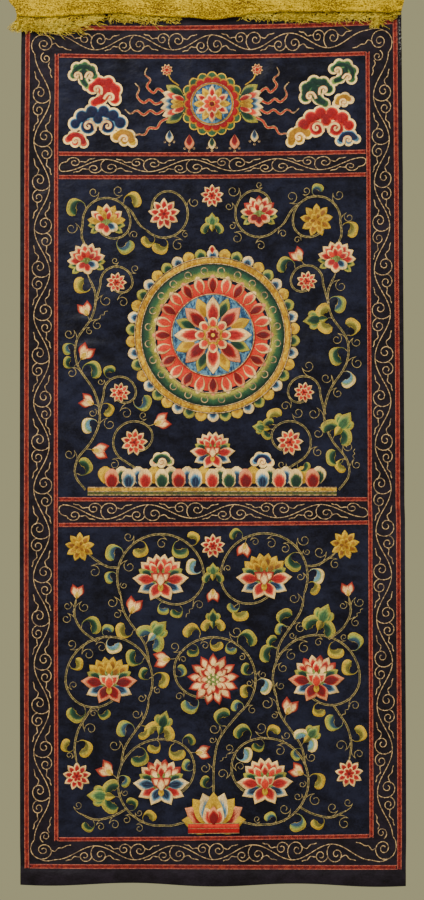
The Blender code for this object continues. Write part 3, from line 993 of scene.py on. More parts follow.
# %% Fold the heading
HEADING_THICKNESS = 1.5 * MM
HEADING_ROLL, HEADING_BACK = 2.1 * MM, 2.9 * MM
HEADING_FRONT = HEADING_BACK + 2 * HEADING_ROLL
HEADING_TURN_UP = 6 * MM
HEADING_COLUMNS, FACE_ROWS, ROLL_ROWS, UP_ROWS = 131, 30, 9, 3
CREASE_UP, CREASE_DEPTH, CREASE_SIZE, CREASE_STRAY = 4.6 * MM, 1.7 * MM, 1.3 * MM, 0.9 * MM
# Across, then how far down the lower edge lies.
HEADING_EDGE = np.array((
    (-174, 45.2), (-150, 46), (-111, 43.6), (-84, 42.4), (-56, 45), (-21, 46.2), (1, 48.3), (24, 45.8),
    (36, 42.8), (65, 41.4), (105, 41.3), (140, 41), (160, 42), (171, 40),
)) * MM
# Down, then where the left and the right side run.
HEADING_SIDES = np.array((
    (0, -186.2, 174.5), (18, -185.8, 174.2), (30, -182.8, 172.8), (40, -176.5, 170.6), (48, -173.5, 169),
)) * MM
# Puckers from the gathering: across, width, height, and how far each slants per millimetre up.
PUCKERS = (
    (-163, 10, 1.4, 0.35), (-120, 17, 1, 0.1), (-72, 13, -0.9, -0.15), (-18, 20, 1.2, 0.05),
    (40, 14, -1.2, 0.6), (86, 18, 1.1, -0.2), (148, 12, 1.3, -0.3), (-140, 4, 0.7, 0.8),
    (-96, 4, -0.6, -0.6), (-40, 5, 0.6, 0.9), (12, 4, 0.7, -0.8), (60, 4, 0.6, 1.4),
    (116, 5, -0.7, -0.9), (160, 4, 0.7, 0.7),
)
# Across, then how strongly the crease is pinched in.
PINCHES = (
    (-174, 0.2), (-166, 0.8), (-158, 0.4), (-146, 1.1), (-130, 0.7), (-122, 1), (-108, 0.3),
    (-96, 0.6), (-84, 0), (10, 0), (24, 0.5), (44, 0.2), (58, 1), (80, 0.5), (92, 0.9), (112, 0.4),
    (128, 1.1), (146, 0.7), (160, 0.9), (171, 0.1),
)
# How far forward the face comes, from the seam down.
FACE_SHAPE = ((0, 0.254), (0.18, 0.36), (0.38, 0.55), (0.58, 0.72), (0.76, 0.9), (0.9, 0.99), (1, 1))


def place_heading(column, row):
    share = column / (HEADING_COLUMNS - 1)
    first, last = HEADING_EDGE[0, 0], HEADING_EDGE[-1, 0]
    (depth,) = between_rows(HEADING_EDGE, first + share * (last - first))
    face = np.clip(row / FACE_ROWS, 0, 1)
    roll = np.clip((row - FACE_ROWS) / ROLL_ROWS, 0, 1) * math.pi
    up = np.clip((row - FACE_ROWS - ROLL_ROWS) / UP_ROWS, 0, 1)
    forward = HEADING_FRONT * np.interp(face, *zip(*FACE_SHAPE)) - HEADING_ROLL * (1 - np.cos(roll))
    down = (depth - HEADING_ROLL) * face + HEADING_ROLL * np.sin(roll) - HEADING_TURN_UP * up
    left, right = between_rows(HEADING_SIDES, down)
    x = left + share * (right - left)
    loose = ease(forward, HEADING_BACK, HEADING_BACK + 3 * MM)
    for pucker_x, width, height, slant in PUCKERS:
        away = (x - pucker_x * MM - slant * (depth - down)) / (width * MM)
        forward = forward + loose * height * MM * np.exp(-away * away)
    stray = CREASE_STRAY * (np.sin(x * 210) + np.sin(x * 83 + 1))
    near = (depth - CREASE_UP + stray - down) / CREASE_SIZE
    (strength,) = between_rows(PINCHES, x / MM)
    forward = forward - CREASE_DEPTH * strength * np.exp(-near * near) * (row <= FACE_ROWS)
    return np.stack([x, -forward, -down], axis=1)


heading_rows = FACE_ROWS + ROLL_ROWS + UP_ROWS + 1
heading = cloth("crepe_heading", HEADING_COLUMNS, heading_rows, place_heading, HEADING_THICKNESS, crepe_look)
declare(heading, "heading")

# %% [markdown]
# ## The ravelled edge
# Under the heading a torn lower layer shows in three places. Its cloth has gone to an open net
# with a ragged foot, and hundreds of short silk fibres stand loose on it, each bent its own way.
# Long threads hang in loops along the foot, and tufts trail down at the ends. Fibres are curves
# with a hair-thin bevel, all in one piece for each strip.

# %% Torn strips and their fibres
RAVEL_TOP = 36.5
RAVEL_LEAN = math.tan(math.radians(8))
RAVEL_THICKNESS = 0.8 * MM
RAVEL_OFF = 0.4 * MM + RAVEL_THICKNESS
RAVEL_PUFF = 1.7 * MM
RAVEL_COLUMN, RAVEL_ROWS = 1.3, 9
FIBRE_RADIUS = 0.17 * MM
LOOP_EVERY = 6

Ravel = namedtuple("Ravel", "node left right down_left down_middle down_right fibres longest seed tufts")
# A tuft's fibres start round its place, lean to one side of straight down, and bend as they go.
Tuft = namedtuple("Tuft", "x down wide length lean bend fibres")
RAVELS = (
    Ravel("ravelled_edge_left", -175.5, -96, 57.5, 58.5, 46, 540, 4.6, 3, (
        Tuft(-173.5, 48, 2.6, 12, -0.55, 0.06, 80), Tuft(-168, 42, 4, 7, -0.5, 0.5, 70),
        Tuft(-164, 49, 1.2, 40, 1.4, 0.06, 12), Tuft(-126, 55, 1.2, 28, 1.8, 0.06, 10),
        Tuft(-152, 47, 2, 22, 1.66, -0.02, 7), Tuft(-112, 46, 2, 18, 0.9, 0.05, 6),
    )),
    Ravel("ravelled_edge_middle", -93.5, -26.5, 47, 49.5, 47, 320, 5.5, 7, ()),
    Ravel("ravelled_edge_right", 25, 165, 45.5, 47.5, 45.5, 700, 7, 11, (
        Tuft(149, 41, 1.8, 13, 0, -0.04, 90), Tuft(147, 53, 5, 2.6, 0, 0.1, 46),
        Tuft(165, 41.5, 2.6, 4.2, 0, 0.9, 120),
    )),
)
# The net's last dye is the painted shade in its holes.
ravel_look = netted_silk("ravelled_net", dye(166, 140, 30), dye(88, 68, 4), dye(30, 18, 2))
fibre_look = crepe_silk("pale_fibres", dye(172, 150, 50), dye(104, 82, 10), 0.5)


def work_ravel(row):
    """One torn strip: its sheet, and its loose fibres as a piece on it."""
    chance = random.Random(row.seed)
    columns = round((row.right - row.left) / RAVEL_COLUMN) + 1
    middle = (row.left + row.right) / 2
    feet = ((row.left, row.down_left), (middle, row.down_middle), (row.right, row.down_right))
    ragged = np.array([chance.uniform(-1.6, 1.2) for _ in range(columns)])

    def front(down):
        return RAVEL_OFF + (down - RAVEL_TOP) * MM * RAVEL_LEAN

    def place(column, at_row):
        x = row.left + (row.right - row.left) * column / (columns - 1)
        foot = between_rows(feet, x)[0] + ragged[column]
        down = RAVEL_TOP + (foot - RAVEL_TOP) * at_row / (RAVEL_ROWS - 1)
        gathers = np.sin(x * 0.9 + row.seed) * 0.3 + np.sin(x * 0.37 + down * 0.5) * 0.6 + 0.9
        ripple = RAVEL_PUFF * gathers * ease(down, RAVEL_TOP, RAVEL_TOP + 6) * ease(foot - down, -1, 8)
        return np.stack([x * MM, -front(down) - ripple, -down * MM], axis=1)

    strip = cloth("torn_" + row.node, columns, RAVEL_ROWS, place, RAVEL_THICKNESS, ravel_look)
    lines = []

    def draw_fibre(x, down, length, heading, off, bend, steps=6):
        """One fibre from a place on the strip: off is how far it stands off, bend how it turns."""
        points = []
        for _ in range(steps):
            points.append((x * MM, -front(down) - off, -down * MM))
            x += math.sin(heading) * length / (steps - 1)
            down += math.cos(heading) * length / (steps - 1)
            off += chance.uniform(-0.1, 0.22) * MM
            heading += bend + chance.uniform(-0.35, 0.35)
        lines.append((points, False))

    for n in range(row.fibres):
        x = chance.uniform(row.left, row.right)
        foot = float(between_rows(feet, x)[0])
        if n % LOOP_EVERY == 0:
            # Long loose threads that hang in loops along the foot.
            reach = chance.uniform(9, 20)
            down, off = foot - chance.uniform(0.5, 7), chance.uniform(1.2, 2.2) * MM
            draw_fibre(min(x, row.right - reach), down, reach, 1.1, off, 0.1, 11)
            continue
        down = foot + 0.6 - abs(chance.gauss(0, 0.22)) * (foot - RAVEL_TOP)
        length = chance.uniform(0.25, 1) ** 2 * row.longest
        off = chance.uniform(0, 2.4) * MM
        draw_fibre(x, down, length, chance.gauss(0, 0.75), off, chance.uniform(-0.5, 0.5))
    for tuft in row.tufts:
        for _ in range(tuft.fibres):
            aside, down = chance.gauss(0, 0.5), tuft.down + chance.uniform(-1, 1)
            length, off = tuft.length * chance.uniform(0.7, 1.1), chance.uniform(0.5, 2.6) * MM
            draw_fibre(tuft.x + aside * tuft.wide, down, length, tuft.lean + 0.15 * aside, off, tuft.bend)
    fibres = round_threads("fibres_" + row.node, FIBRE_RADIUS, lines)
    coat(fibres, fibre_look)
    declare(strip, row.node)
    declare(fibres)
    return strip, fibres


ravels = [work_ravel(row) for row in RAVELS]

# %% [markdown]
# ## A sampler of shapes
# Everything in the three fields is made of a few shapes: pointed, broad, round, narrow and bud
# petals, a drop, a comma leaf, a lobe and a disc. Each is modelled once, about ten millimetres
# long, and set aside. Copies are scaled, turned and dyed as they are sewn down, and the sampler is
# taken away at the end.

# %% Shapes modelled once
# Each has its rows, its length, its turn, its half widths, its puff and its columns.
sampler = [satin_shape(*row) for row in (
    ("pointed_petal", 7, 12, 0, (0.9, 2.4, 3.4, 3.7, 3.1, 1.8, 0.1), 0.9),
    ("broad_petal", 9, 17, 0, (1.6, 4.2, 6, 6.9, 6.8, 5.8, 4, 1.9, 0.1), 1),
    ("round_petal", 6, 9, 0, (1, 2.6, 3.6, 3.9, 3.2, 0.9), 0.8),
    ("narrow_petal", 5, 8, 0, (0.4, 1.2, 1.7, 1.5, 0.1), 0.7, 4),
    ("bud_petal", 7, 12, 0, (1.4, 3.6, 4.6, 4.4, 3.2, 1.6, 0.1), 1.1),
    ("drop", 6, 10, 0, (0.2, 1.6, 3, 3.6, 2.8, 0.4), 0.8),
    ("comma", 16, 27, 222, (0.5, 0.5, 0.6, 0.9, 1.8, 3.3, 4.6, 5.1, 4.7, 4.8, 5.4, 5.2, 3.9, 0.9), 0.9),
    ("lobe", 9, 16, 170, (2.4, 3.8, 4.6, 4.9, 4.5, 4.9, 5, 3.9, 0.9), 0.9),
)]
sampler.append(satin_ring("disc", 5, 5, 18, 0.24))
pointed_petal, broad_petal, round_petal, narrow_petal, bud_petal, drop, comma, lobe, disc = sampler
print("sampler:", {shape.name: triangles(shape) for shape in sampler})

# %% Put discs and fans of petals
def put_disc(work, x, down, radius, look, layer=0):
    work.put(disc, spot(x, down, 0, radius / 10), look, layer)


def fan(work, x, down, shape, turns, looks, size=1, out=0, layer=0, wide=1):
    """Copies of a shape round a point at the given turns, their dyes taken in order."""
    outwards = Matrix.Translation((0, 0, out * MM))
    for n, turn in enumerate(turns):
        work.put(shape, spot(x, down, turn, size, wide) @ outwards, threads[looks[n % len(looks)]], layer)


def spread(first, last, count):
    return [first + (last - first) * n / (count - 1) for n in range(count)]


def around(count, start=0):
    return [start + 360 * n / count for n in range(count)]


print("five turns spread over a half circle:", spread(-90, 90, 5))


# %% Flowers and buds
def flower(work, x, down, turn, size, rows):
    """Fans round one point. A row has its shape, turns, dyes, size, reach, layer and width."""
    for shape, turns, looks, share, out, layer, wide in rows:
        fan(work, x, down, shape, [turn + t for t in turns], looks, size * share, out, layer, wide)


def lotus(work, x, down, turn=0, size=1, upper=("red", "flame"), lower=("red", "wine")):
    """A small lotus from the side: a fan of upper petals over a bowl of lower ones."""
    flower(work, x, down, turn, size, (
        (narrow_petal, (-98, 98, -122, 122), ("green",), 1.5, 3.4, 0, 1.3),
        (pointed_petal, spread(-80, 80, 7), upper, 1.05, 4.6, 0, 1.15),
        (pointed_petal, spread(-52, 52, 4), upper[::-1], 0.84, 3.2, 1, 1.2),
        (round_petal, (236, 124, 180), lower, 1.12, 1.4, 2, 1.1),
    ))
    work.put(disc, spot(x, down, turn, size * 0.42, 1.3), stippled_pod, 3)


def open_lotus(work, x, down):
    """A lotus that faces the viewer: two rings of broad petals round a seed pod."""
    flower(work, x, down, 0, 1, (
        (broad_petal, around(13), ("pink",), 0.74, 15, 0, 0.82),
        (broad_petal, around(10, 18), ("red", "pink"), 0.66, 8.6, 1, 0.92),
        (round_petal, around(8), ("pink",), 0.86, 5.6, 2, 1.05),
    ))
    put_disc(work, x, down, 7, stippled_pod, 3)
    for at in [(x, down), *arc(x, down, 4.2, 0, 300, 4.4)]:
        put_disc(work, *at, 1.1, rounds["ivory"], 4)


def bowl_lotus(work, x, down, size, front="pink", sides=("red", "blue"), crown=("red", "flame")):
    """A lotus from the side: a crown of narrow petals behind a pod, broad petals spread to both sides
    and below, and three rounded ones in front."""
    near, far = sides
    pod = spot(x, down, 0, size * 0.86, 1.5) @ Matrix.Translation((0, 0, 4.4 * MM))
    flower(work, x, down, 0, size, (
        (pointed_petal, spread(-46, 46, 6), crown, 1.2, 7.6, 0, 1.1),
        (pointed_petal, spread(-30, 30, 3), crown[::-1], 1, 6.6, 1, 1.15),
        (pointed_petal, (-62, 62), ("green",), 1.1, 7.4, 1, 1.2),
        (broad_petal, (-116, 116), (far,), 0.94, 6.2, 1, 0.86),
        (broad_petal, (-84, 84), (near,), 1.06, 6, 2, 0.84),
        (broad_petal, (-152, 152), (near,), 0.92, 3.4, 3, 0.96),
        (broad_petal, (-50, 50), (front,), 0.62, 1, 4, 0.96),
        (broad_petal, (0,), (front,), 0.74, -5, 5, 1),
        (round_petal, (180,), ("gold",), 0.8, 2.4, 5, 1),
    ))
    work.put(disc, pod, stippled_pod, 3)


def round_flower(work, x, down, turn=0, size=1, looks=("red",), heart="wine"):
    """A flower seen from above: a ring of pointed petals, a ring of small ones and a heart."""
    flower(work, x, down, turn, size, (
        (pointed_petal, around(9), looks, 0.66, 4.8, 0, 1.1),
        (round_petal, around(6, 20), looks[::-1], 0.52, 1.6, 1, 1.1),
    ))
    put_disc(work, x, down, 1.5 * size, rounds[heart], 2)


def bell(work, x, down, turn=0, size=1):
    """A half-open flower: red tips over a pale cup."""
    flower(work, x, down, turn, size, (
        (broad_petal, (-21, 21), ("pink",), 0.66, 3, 0, 0.86),
        (bud_petal, (0,), ("cup",), 0.78, 0, 1, 1),
        (drop, (0,), ("gold",), 0.42, -2, 2, 1),
    ))


print("flowers:", ", ".join(f.__name__ for f in (lotus, open_lotus, bowl_lotus, round_flower, bell)))


# %% Leaves
def curled_leaf(work, x, down, turn, size, hand, look):
    work.put(comma, spot(x, down, turn, size, hand), threads[look])


def three_lobed_leaf(work, x, down, turn=0, size=1, look="leaf", tip="lemon_leaf"):
    """Two lobes that roll down to the sides, and a pointed one between with two shoulders."""
    here = spot(x, down, turn, size)
    for flip in (Matrix.Identity(4), Matrix.Diagonal((-1, 1, 1, 1))):
        work.put(lobe, here @ flip @ spot(0.6, -3.4, 44, 0.84), threads[look])
        work.put(round_petal, here @ flip @ spot(1.6, -6.6, 34, 0.84), threads["sage"], 1)
    work.put(bud_petal, here @ spot(0, -4.6, 0, 1.1), threads["green" if tip == "leaf" else "sage"], 2)
    work.put(drop, here @ spot(0, 1.4, 0, 0.8), threads[tip], 3)


print("leaves:", curled_leaf.__name__, "and", three_lobed_leaf.__name__)

# %% [markdown]
# ## Vines that fill a field
# A vine is a thin green strip with a gold cord down each side. It circles, sways, and sends out
# leaves and flowers on stalks, and tendrils. Placing each by hand takes long and soon crosses
# something, so the field keeps a list of taken round places, and a rule fills what is empty:
# large things first, then smaller ones, each only where its place is free.

# %% Lines for vines
def beside(line, away, closing=0):
    """The line moved sideways, by millimetres, and closing in again over its last points."""
    points = np.array(line, float)
    ways = np.gradient(points, axis=0)
    ways /= np.linalg.norm(ways, axis=1, keepdims=True)
    left = np.arange(len(points))[::-1] / max(closing, 0.1)
    return points + away * np.minimum(left + 0.15, 1)[:, None] * np.stack([-ways[:, 1], ways[:, 0]], axis=1)


def arc(x, down, radius, start, sweep, step=2.2):
    """Points round a circle. Turns are clockwise from the top."""
    count = max(4, math.ceil(math.radians(abs(sweep)) * radius / step))
    return [moved((x, down), start + sweep * n / count, radius) for n in range(count + 1)]


def moved(start, bearing, ahead, aside=0):
    """A point that far ahead of a start on a bearing, and that far to its right."""
    angle = math.radians(bearing)
    over = ahead * math.sin(angle) + aside * math.cos(angle)
    return start[0] + over, start[1] - ahead * math.cos(angle) + aside * math.sin(angle)


def mirrored(side, points):
    """A smooth line drawn for the right side, or its mirror image where side is -1."""
    return smooth([(side * over, fall) for over, fall in points], 2.4)


def bearing_of(way):
    return math.degrees(math.atan2(way[0], -way[1]))


def tendril(cords, x, down, turn, size, hand=1, tail=0):
    """A thin stem that leaves a vine along its way and rolls up. With a tail, a wavering end goes on."""
    rolled = smooth([(-2.4, -0.7), (1.4, 0.1), (5.4, 1.2), (9, 4.2)])[:-1]
    rolled += spiral((4.9, 7.6), (9, 4.2), 1.15, 0.34, -1)
    wavering = smooth([(7.4, 2.2), (11, 4.4), (13.6, 2.6), (16.4, 4.6), (18.6, 3), (21.4, 4.4)], 1)
    for line in (rolled, wavering)[:1 + tail]:
        cords.lay([moved((x, down), turn, ahead * size, hand * aside * size) for ahead, aside in line])


COIL_ROLLS, COIL_INNER = 0.62, 0.42
LINK_SWAY = 0.045


def coil(x, down, radius, start, sweep, inner=COIL_INNER):
    """A circle of vine whose last part rolls in to stand under what it circles."""
    count = max(8, math.ceil(math.radians(abs(sweep)) * radius / 2.4))
    line = []
    for n in range(count + 1):
        reach = radius * (1 - (1 - inner) * float(ease(n / count, COIL_ROLLS, 1)))
        line.append(moved((x, down), start + sweep * n / count, reach))
    return line


def link(first, second, radius, hand):
    """A run from one circle to the next that turns the other way, swayed a little: its points, and
    the turn at which it touches the second circle."""
    way = np.array(second, float) - first
    leave = bearing_of(way) + hand * math.degrees(math.acos(2 * radius / np.linalg.norm(way)))
    start, end = np.array(moved(first, leave, radius)), np.array(moved(second, leave + 180, radius))
    run = end - start
    over = np.array([run[1], -run[0]]) * hand * LINK_SWAY
    return smooth([start, start + run * 0.27 - over, start + run * 0.73 + over, end], 3), leave + 180


print("a vine's circle has", len(arc(0, 0, 24, 0, 300)), "points")

# %% What grows from a vine
# Each kind's stalk, how far it leans from the vine's way, how far its middle lies ahead of the
# stalk's end and aside, its radius, and what sews it.
KINDS = {
    "leaf": (6, 50, 1.5, 12.4, 7.4, None), "back": (6, 124, 1.5, -12.4, 7.4, None),
    "roll": (0, 10, 5, 7.8, 5.8, None), "tail": (0, 12, 9.6, 7, 9.6, None),
    "three": (6, 66, 8, 0, 11, three_lobed_leaf), "bell": (7, 56, 7, 0, 7.6, bell),
    "flower": (17, 66, 0, 0, 11.4, round_flower), "lotus": (19, 60, 0, 0, 16, lotus),
}
# What fills a vine's empty places: how often each is tried along it, and the choices by turns.
FILLINGS = (
    (34, (
        ("three", 1.34, "leaf", "lemon_leaf"), ("three", 1.2, "lemon_leaf", "leaf"),
        ("three", 1.26, "sea_leaf", "pale_leaf"), ("three", 1.1, "pale_leaf", "lemon_leaf"),
    )),
    (48, (("tail", 0.95), ("tail", 0.85))),
    (84, (("bell", 1.2), ("bell", 1.05))),
    (34, (
        ("leaf", 0.92, "leaf"), ("back", 0.84, "lemon_leaf"), ("leaf", 0.86, "sea_leaf"),
        ("leaf", 0.8, "lemon_leaf"), ("back", 0.86, "leaf"), ("leaf", 0.8, "pale_leaf"),
    )),
    (15, (("roll", 1.15), ("roll", 0.95), ("roll", 1.05))),
    (16, (("three", 0.86, "leaf", "lemon_leaf"), ("three", 0.78, "lemon_leaf", "leaf"))),
    (16, (("leaf", 0.66, "lemon_leaf"), ("back", 0.62, "leaf"), ("leaf", 0.6, "sea_leaf"))),
    (13, (("roll", 0.8), ("roll", 0.66))),
)
VINE_HALF, CORD_BESIDE = 0.46, 0.16
ROOT_ROOM = 7


class Garden:
    """A field of vines and what grows on them. It knows which places are taken, so that nothing is
    sewn over anything else."""

    def __init__(self, name, *edges):
        self.flowers, self.stems = Embroidery(name + "_flowers"), Embroidery(name + "_vines")
        self.cords = Cords(name + "_cords", 0.33 * MM, vine_gilt)
        self.edges, self.taken, self.lines = edges, [], []

    def vine(self, line, rolls=0):
        """A green stem with a gold cord down each side. Where it rolls, its end curls to that side."""
        self.stems.strip(line, (VINE_HALF,) * 8 + (VINE_HALF * 0.2,), vine_look)
        for side in (-1, 1):
            self.cords.lay(beside(line, side * (VINE_HALF + CORD_BESIDE), 4), layer=1)
        self.lines.append(np.array(line, float))
        if rolls:
            forward = bearing_of(self.lines[-1][-1] - self.lines[-1][-2])
            tendril(self.cords, *line[-1], forward, 0.8, rolls)
            self.keep(*moved(line[-1], forward, 4.3, 6.5 * rolls), 5)

    def keep(self, *place):
        """Mark a round place as taken: its middle and its radius."""
        self.taken.append(place)

    def free(self, x, down, radius, root):
        """Whether a round place is inside the field and clear. Vines near its own root don't count."""
        left, right, top, bottom = self.edges
        if not (left < x - radius and x + radius < right and top < down - radius and down + radius < bottom):
            return False
        if any(math.hypot(x - a, down - b) < radius + r for a, b, r in self.taken):
            return False
        points = np.concatenate(self.lines)
        away, rooted = (np.hypot(*(points - place).T) for place in ((x, down), root))
        return bool((away[rooted > ROOT_ROOM] > radius * 0.92 + 1.2).all())

    def grow(self, line, share, side, kind, size, *looks):
        """Let one thing grow from a share of the way along a line, if its place is free. side is 1 for
        the right hand as the line runs."""
        n = min(int(share * (len(line) - 1)), len(line) - 2)
        root = np.array(line[n], float)
        forward = bearing_of(np.array(line[n + 1], float) - root)
        reach, lean, ahead, aside, radius, sewn_by = KINDS[kind]
        turn = forward + side * lean
        bend = moved(root, forward + side * lean * 0.4, reach * size * 0.45)
        end = moved(bend, turn, reach * size * 0.55)
        middle = moved(end, turn, ahead * size, aside * side * size)
        if not self.free(*middle, radius * size, root):
            return False
        self.keep(*middle, radius * size)
        if kind in ("roll", "tail"):
            tendril(self.cords, *root, turn, size, side, kind == "tail")
            return True
        self.cords.lay(smooth([root, bend, end]))
        if sewn_by:
            sewn_by(self.flowers, *end, turn, size, *looks)
        else:
            curled_leaf(self.flowers, *end, turn, size, side if kind == "leaf" else -side, *looks)
        return True

    def fill(self):
        """Go along every vine, once for each filling, and grow what fits on either side."""
        for gap, choices in FILLINGS:
            turns = 0
            for line in self.lines:
                length = np.linalg.norm(np.diff(line, axis=0), axis=1).sum()
                for n in range(1, round(2 * length / gap)):
                    kind, size, *looks = choices[turns % len(choices)]
                    turns += self.grow(line, n * gap / length / 2, (-1, 1)[n % 2], kind, size, *looks)

    def sew(self):
        for part in (self.stems, self.flowers):
            part.sew()
        self.cords.couch()
        print(len(self.taken), "things in their places")


print("kinds that grow:", ", ".join(KINDS))

# %% [markdown]
# ## Clouds
# A cloud is a few overlapping discs in four layers: pale rims below, then a tint, a middle dye and
# a dark heart. Where discs of one layer overlap they merge, so only the outer edge keeps its rim,
# and strips of stitches join the layers inside it. Pale curls go on last.

# %% Three kinds of cloud
# A cloud's lobes and curls each have a place across and down and a radius. Its bodies are lines.
Cloud = namedtuple("Cloud", "lobes bodies curls")
WIDE = Cloud(
    ((-19, 1, 7.4), (-13, -5, 7.4), (-4.8, -8.6, 7.2), (5, -8, 7.6), (13.6, -3.8, 7.6), (19.4, 2.4, 6.6),
     (-8.6, 4, 8.2), (8.4, 4.6, 8.4), (0, -2, 6.6)),
    (((-19, 2.4), (-13.6, -3.6), (-4.8, -7), (0, -5.4), (5, -6.6), (13.8, -2.6), (18.8, 3)),
     ((0, -7), (0, -1))),
    ((-8.4, 4.2, 5), (8.2, 4.6, 5.2)),
)
TALL = Cloud(
    ((-10.4, -1.6, 6), (-7.2, -8, 6), (0.6, -10.6, 6.2), (8.2, -7, 6.4), (10.4, 0.8, 6.2), (0.4, -2.6, 7.6),
     (0, 4.6, 5.6), (-4.6, 9.8, 5.2)),
    (((-10.6, -2.4), (-7, -7.4), (0.6, -9.6), (7.8, -6.6), (10.8, 0.4)),
     ((0.6, -9), (1.4, -3), (0.6, 4), (-4.6, 9.6))),
    ((-6.4, -1.2, 3.9), (6.8, 1.2, 4.1)),
)
SMALL = Cloud(
    ((-6, 1.4, 5.2), (-1.6, -3, 5.6), (5, -2.4, 5.6), (9, 2.6, 4.8), (1.8, 3.2, 5)),
    (((-6.2, 1.6), (-1.4, -2.6), (4.6, -2.4), (8.8, 2.4)),),
    ((1.8, 2, 3.8),),
)
# How far the rim, the tint, the middle and the heart stand in from a lobe's edge.
SHRINKS = (0, 2.1, 2.8, 3.5)
LEAST_LOBE, BODY_HALF = 2.4, 5.6
CURL_HALVES = (1.2, 1.2, 1.15, 1.05, 0.9, 0.85)
RED_CLOUD, BLUE_CLOUD = ("ivory", "rose", "red", "scarlet"), ("ivory", "sky", "sea", "indigo")
GREEN_CLOUD, GOLD_CLOUD = ("ivory", "sage", "jade", "bottle"), ("ivory", "straw", "gold", "gold")


def cloud(work, x, down, kind, looks, size=1, hand=1, lean=0):
    """looks names the dyes of the rim, the tint, the middle and the heart."""

    def at(over, fall):
        return moved((x, down), lean, -fall * size, over * hand * size)

    for layer, (look, shrink) in enumerate(zip(looks, SHRINKS)):
        for over, fall, radius in kind.lobes:
            radius = radius * size - shrink
            if layer == 0 or radius > LEAST_LOBE:
                put_disc(work, *at(over, fall), radius, rounds[look], layer)
        for body in kind.bodies if layer else ():
            half = BODY_HALF * size - shrink
            line = smooth([at(*point) for point in body])
            work.strip(line, (half * 0.8, half, half, half, half * 0.8), rounds[look], layer, 0.2)
    for over, fall, r in kind.curls:
        inward = 1 if over < 0.1 else -1
        foot = [at(over + inward * r * 1.2, fall + r * 0.7), at(over + inward * r * 1.1, fall)]
        rim = at(over + inward * r * 0.82, fall - r * 0.6)
        roll = spiral(at(over, fall), rim, 1.22, 0.12, -inward * hand)
        line = smooth([*foot, roll[0]])[:-1] + roll
        work.strip(line, [half * size for half in CURL_HALVES], threads["curl"], 4)


print("a wide cloud has", len(SHRINKS) * len(WIDE.lobes), "discs")

# %% [markdown]
# ## The top field
# A flat lotus rosette stands in the middle, with fans of petals and waving ribbons to both sides,
# drops below it, and clouds near the ends.

# %% Rosette, fans and drops
x, down = 0.5, 121
rosette = Embroidery("top_rosette")
for layer, reach, rim, heart in ((0, 25, "straw", "jade"), (2, 20.8, "gold", "scarlet")):
    for turn in around(18, 5 * layer):
        at = moved((x, down), turn, reach)
        put_disc(rosette, *at, 5, rounds[rim], layer)
        put_disc(rosette, *at, 3.7, rounds[heart], layer + 1)
for side in (-1, 1):
    petals = spread(side * 56, side * 124, 6)
    flower(rosette, x + side * 16, down, 0, 1, (
        (pointed_petal, petals, ("green", "flame", "blue", "blue", "flame", "green"), 1.5, 8.6, 0, 1),
        (pointed_petal, petals[1:-1], ("red", "gold", "gold", "red"), 1.05, 9.6, 1, 1),
    ))
    stalk = smooth([(x + side * 30, 104), (x + side * 37, 99), (x + side * 40, 93)])
    rosette.strip(stalk, (0.5, 0.6), threads["gold"], 1)
    round_flower(rosette, x + side * 41, 90, side * 20, 0.5, ("red", "flame"))
flower(rosette, x, down, 0, 1, (
    (pointed_petal, around(12), ("red", "gold"), 0.92, 6.4, 6, 1),
    (round_petal, around(8, 22.5), ("flame",), 0.84, 2.6, 7, 1),
))
for radius, look, layer in (
    (19.4, rounds["gold"], 4), (18, stippled_blue, 5), (4.2, stippled_gold, 8), (2.2, rounds["wine"], 9),
):
    put_disc(rosette, x, down, radius, look, layer)

# %% Drops, ribbons and thin cords
ribbons = Embroidery("top_ribbons")
top_cords = Cords("top_cords", 0.3 * MM, gilt)
for side in (-1, 1):
    for run in (
        [(42, 112), (49, 107), (53, 111), (59, 105), (56, 99), (61, 94), (59, 88)],
        [(44, 118), (51, 121), (57, 117), (62, 120), (68, 114), (66, 107), (70, 102)],
        [(43, 126), (50, 130), (56, 127), (62, 131), (68, 127), (74, 130), (79, 126)],
        [(38, 133), (46, 137), (50, 143), (57, 143), (61, 149), (68, 149), (73, 155)],
    ):
        line = smooth([(x + side * over, fall) for over, fall in run], 2)
        ribbons.strip(line, (1.1, 1.2, 1.1, 0.8, 0.35), threads["ribbon"])
        for edge in (-1, 1):
            top_cords.lay(beside(line, edge, 14), layer=1)
# Each drop hangs from its point, with three small rings round its foot.
for drop_x, foot, top, look, size in (
    (-38, 153.5, 145, "blue", 1.1), (-20, 159.5, 149, "wine", 1.35), (0.5, 159, 151.5, "jade", 1.1),
    (21, 159.5, 149, "wine", 1.35), (39, 153.5, 145, "blue", 1.1),
):
    fan(rosette, drop_x, top, drop, (180,), (look,), size, 0, 1)
    for turn in (116, 180, 244):
        top_cords.lay(arc(*moved((drop_x, foot), turn, 4.6), 0.9, 0, 330, 1.2))
top_cords.lay(arc(x, down, 19.5, 0, 360)[:-1], closed=True, layer=5)
rosette.sew()
ribbons.sew()
top_cords.couch()

# %% Clouds of the top field
clouds = Embroidery("clouds")
for place in (
    (-116, 96, TALL, GREEN_CLOUD, 0.9, -1, 8), (-98, 112, TALL, RED_CLOUD, 1.08, 1, 20),
    (-103, 137, WIDE, BLUE_CLOUD, 1.06, -1), (-80, 151, SMALL, GOLD_CLOUD, 1.05, 1, 14),
    (-121, 154, SMALL, RED_CLOUD, 0.98, -1, 16), (119, 96, TALL, GREEN_CLOUD, 0.9, 1, 24),
    (96, 113, TALL, GREEN_CLOUD, 1.06, -1, -12), (118, 120, SMALL, GOLD_CLOUD, 0.85, 1, -20),
    (104, 140, WIDE, RED_CLOUD, 1.06), (80, 150, SMALL, GOLD_CLOUD, 1.1, -1, -24),
    (122, 154, SMALL, BLUE_CLOUD, 0.98, 1, -10),
):
    cloud(clouds, *place)
clouds.sew()

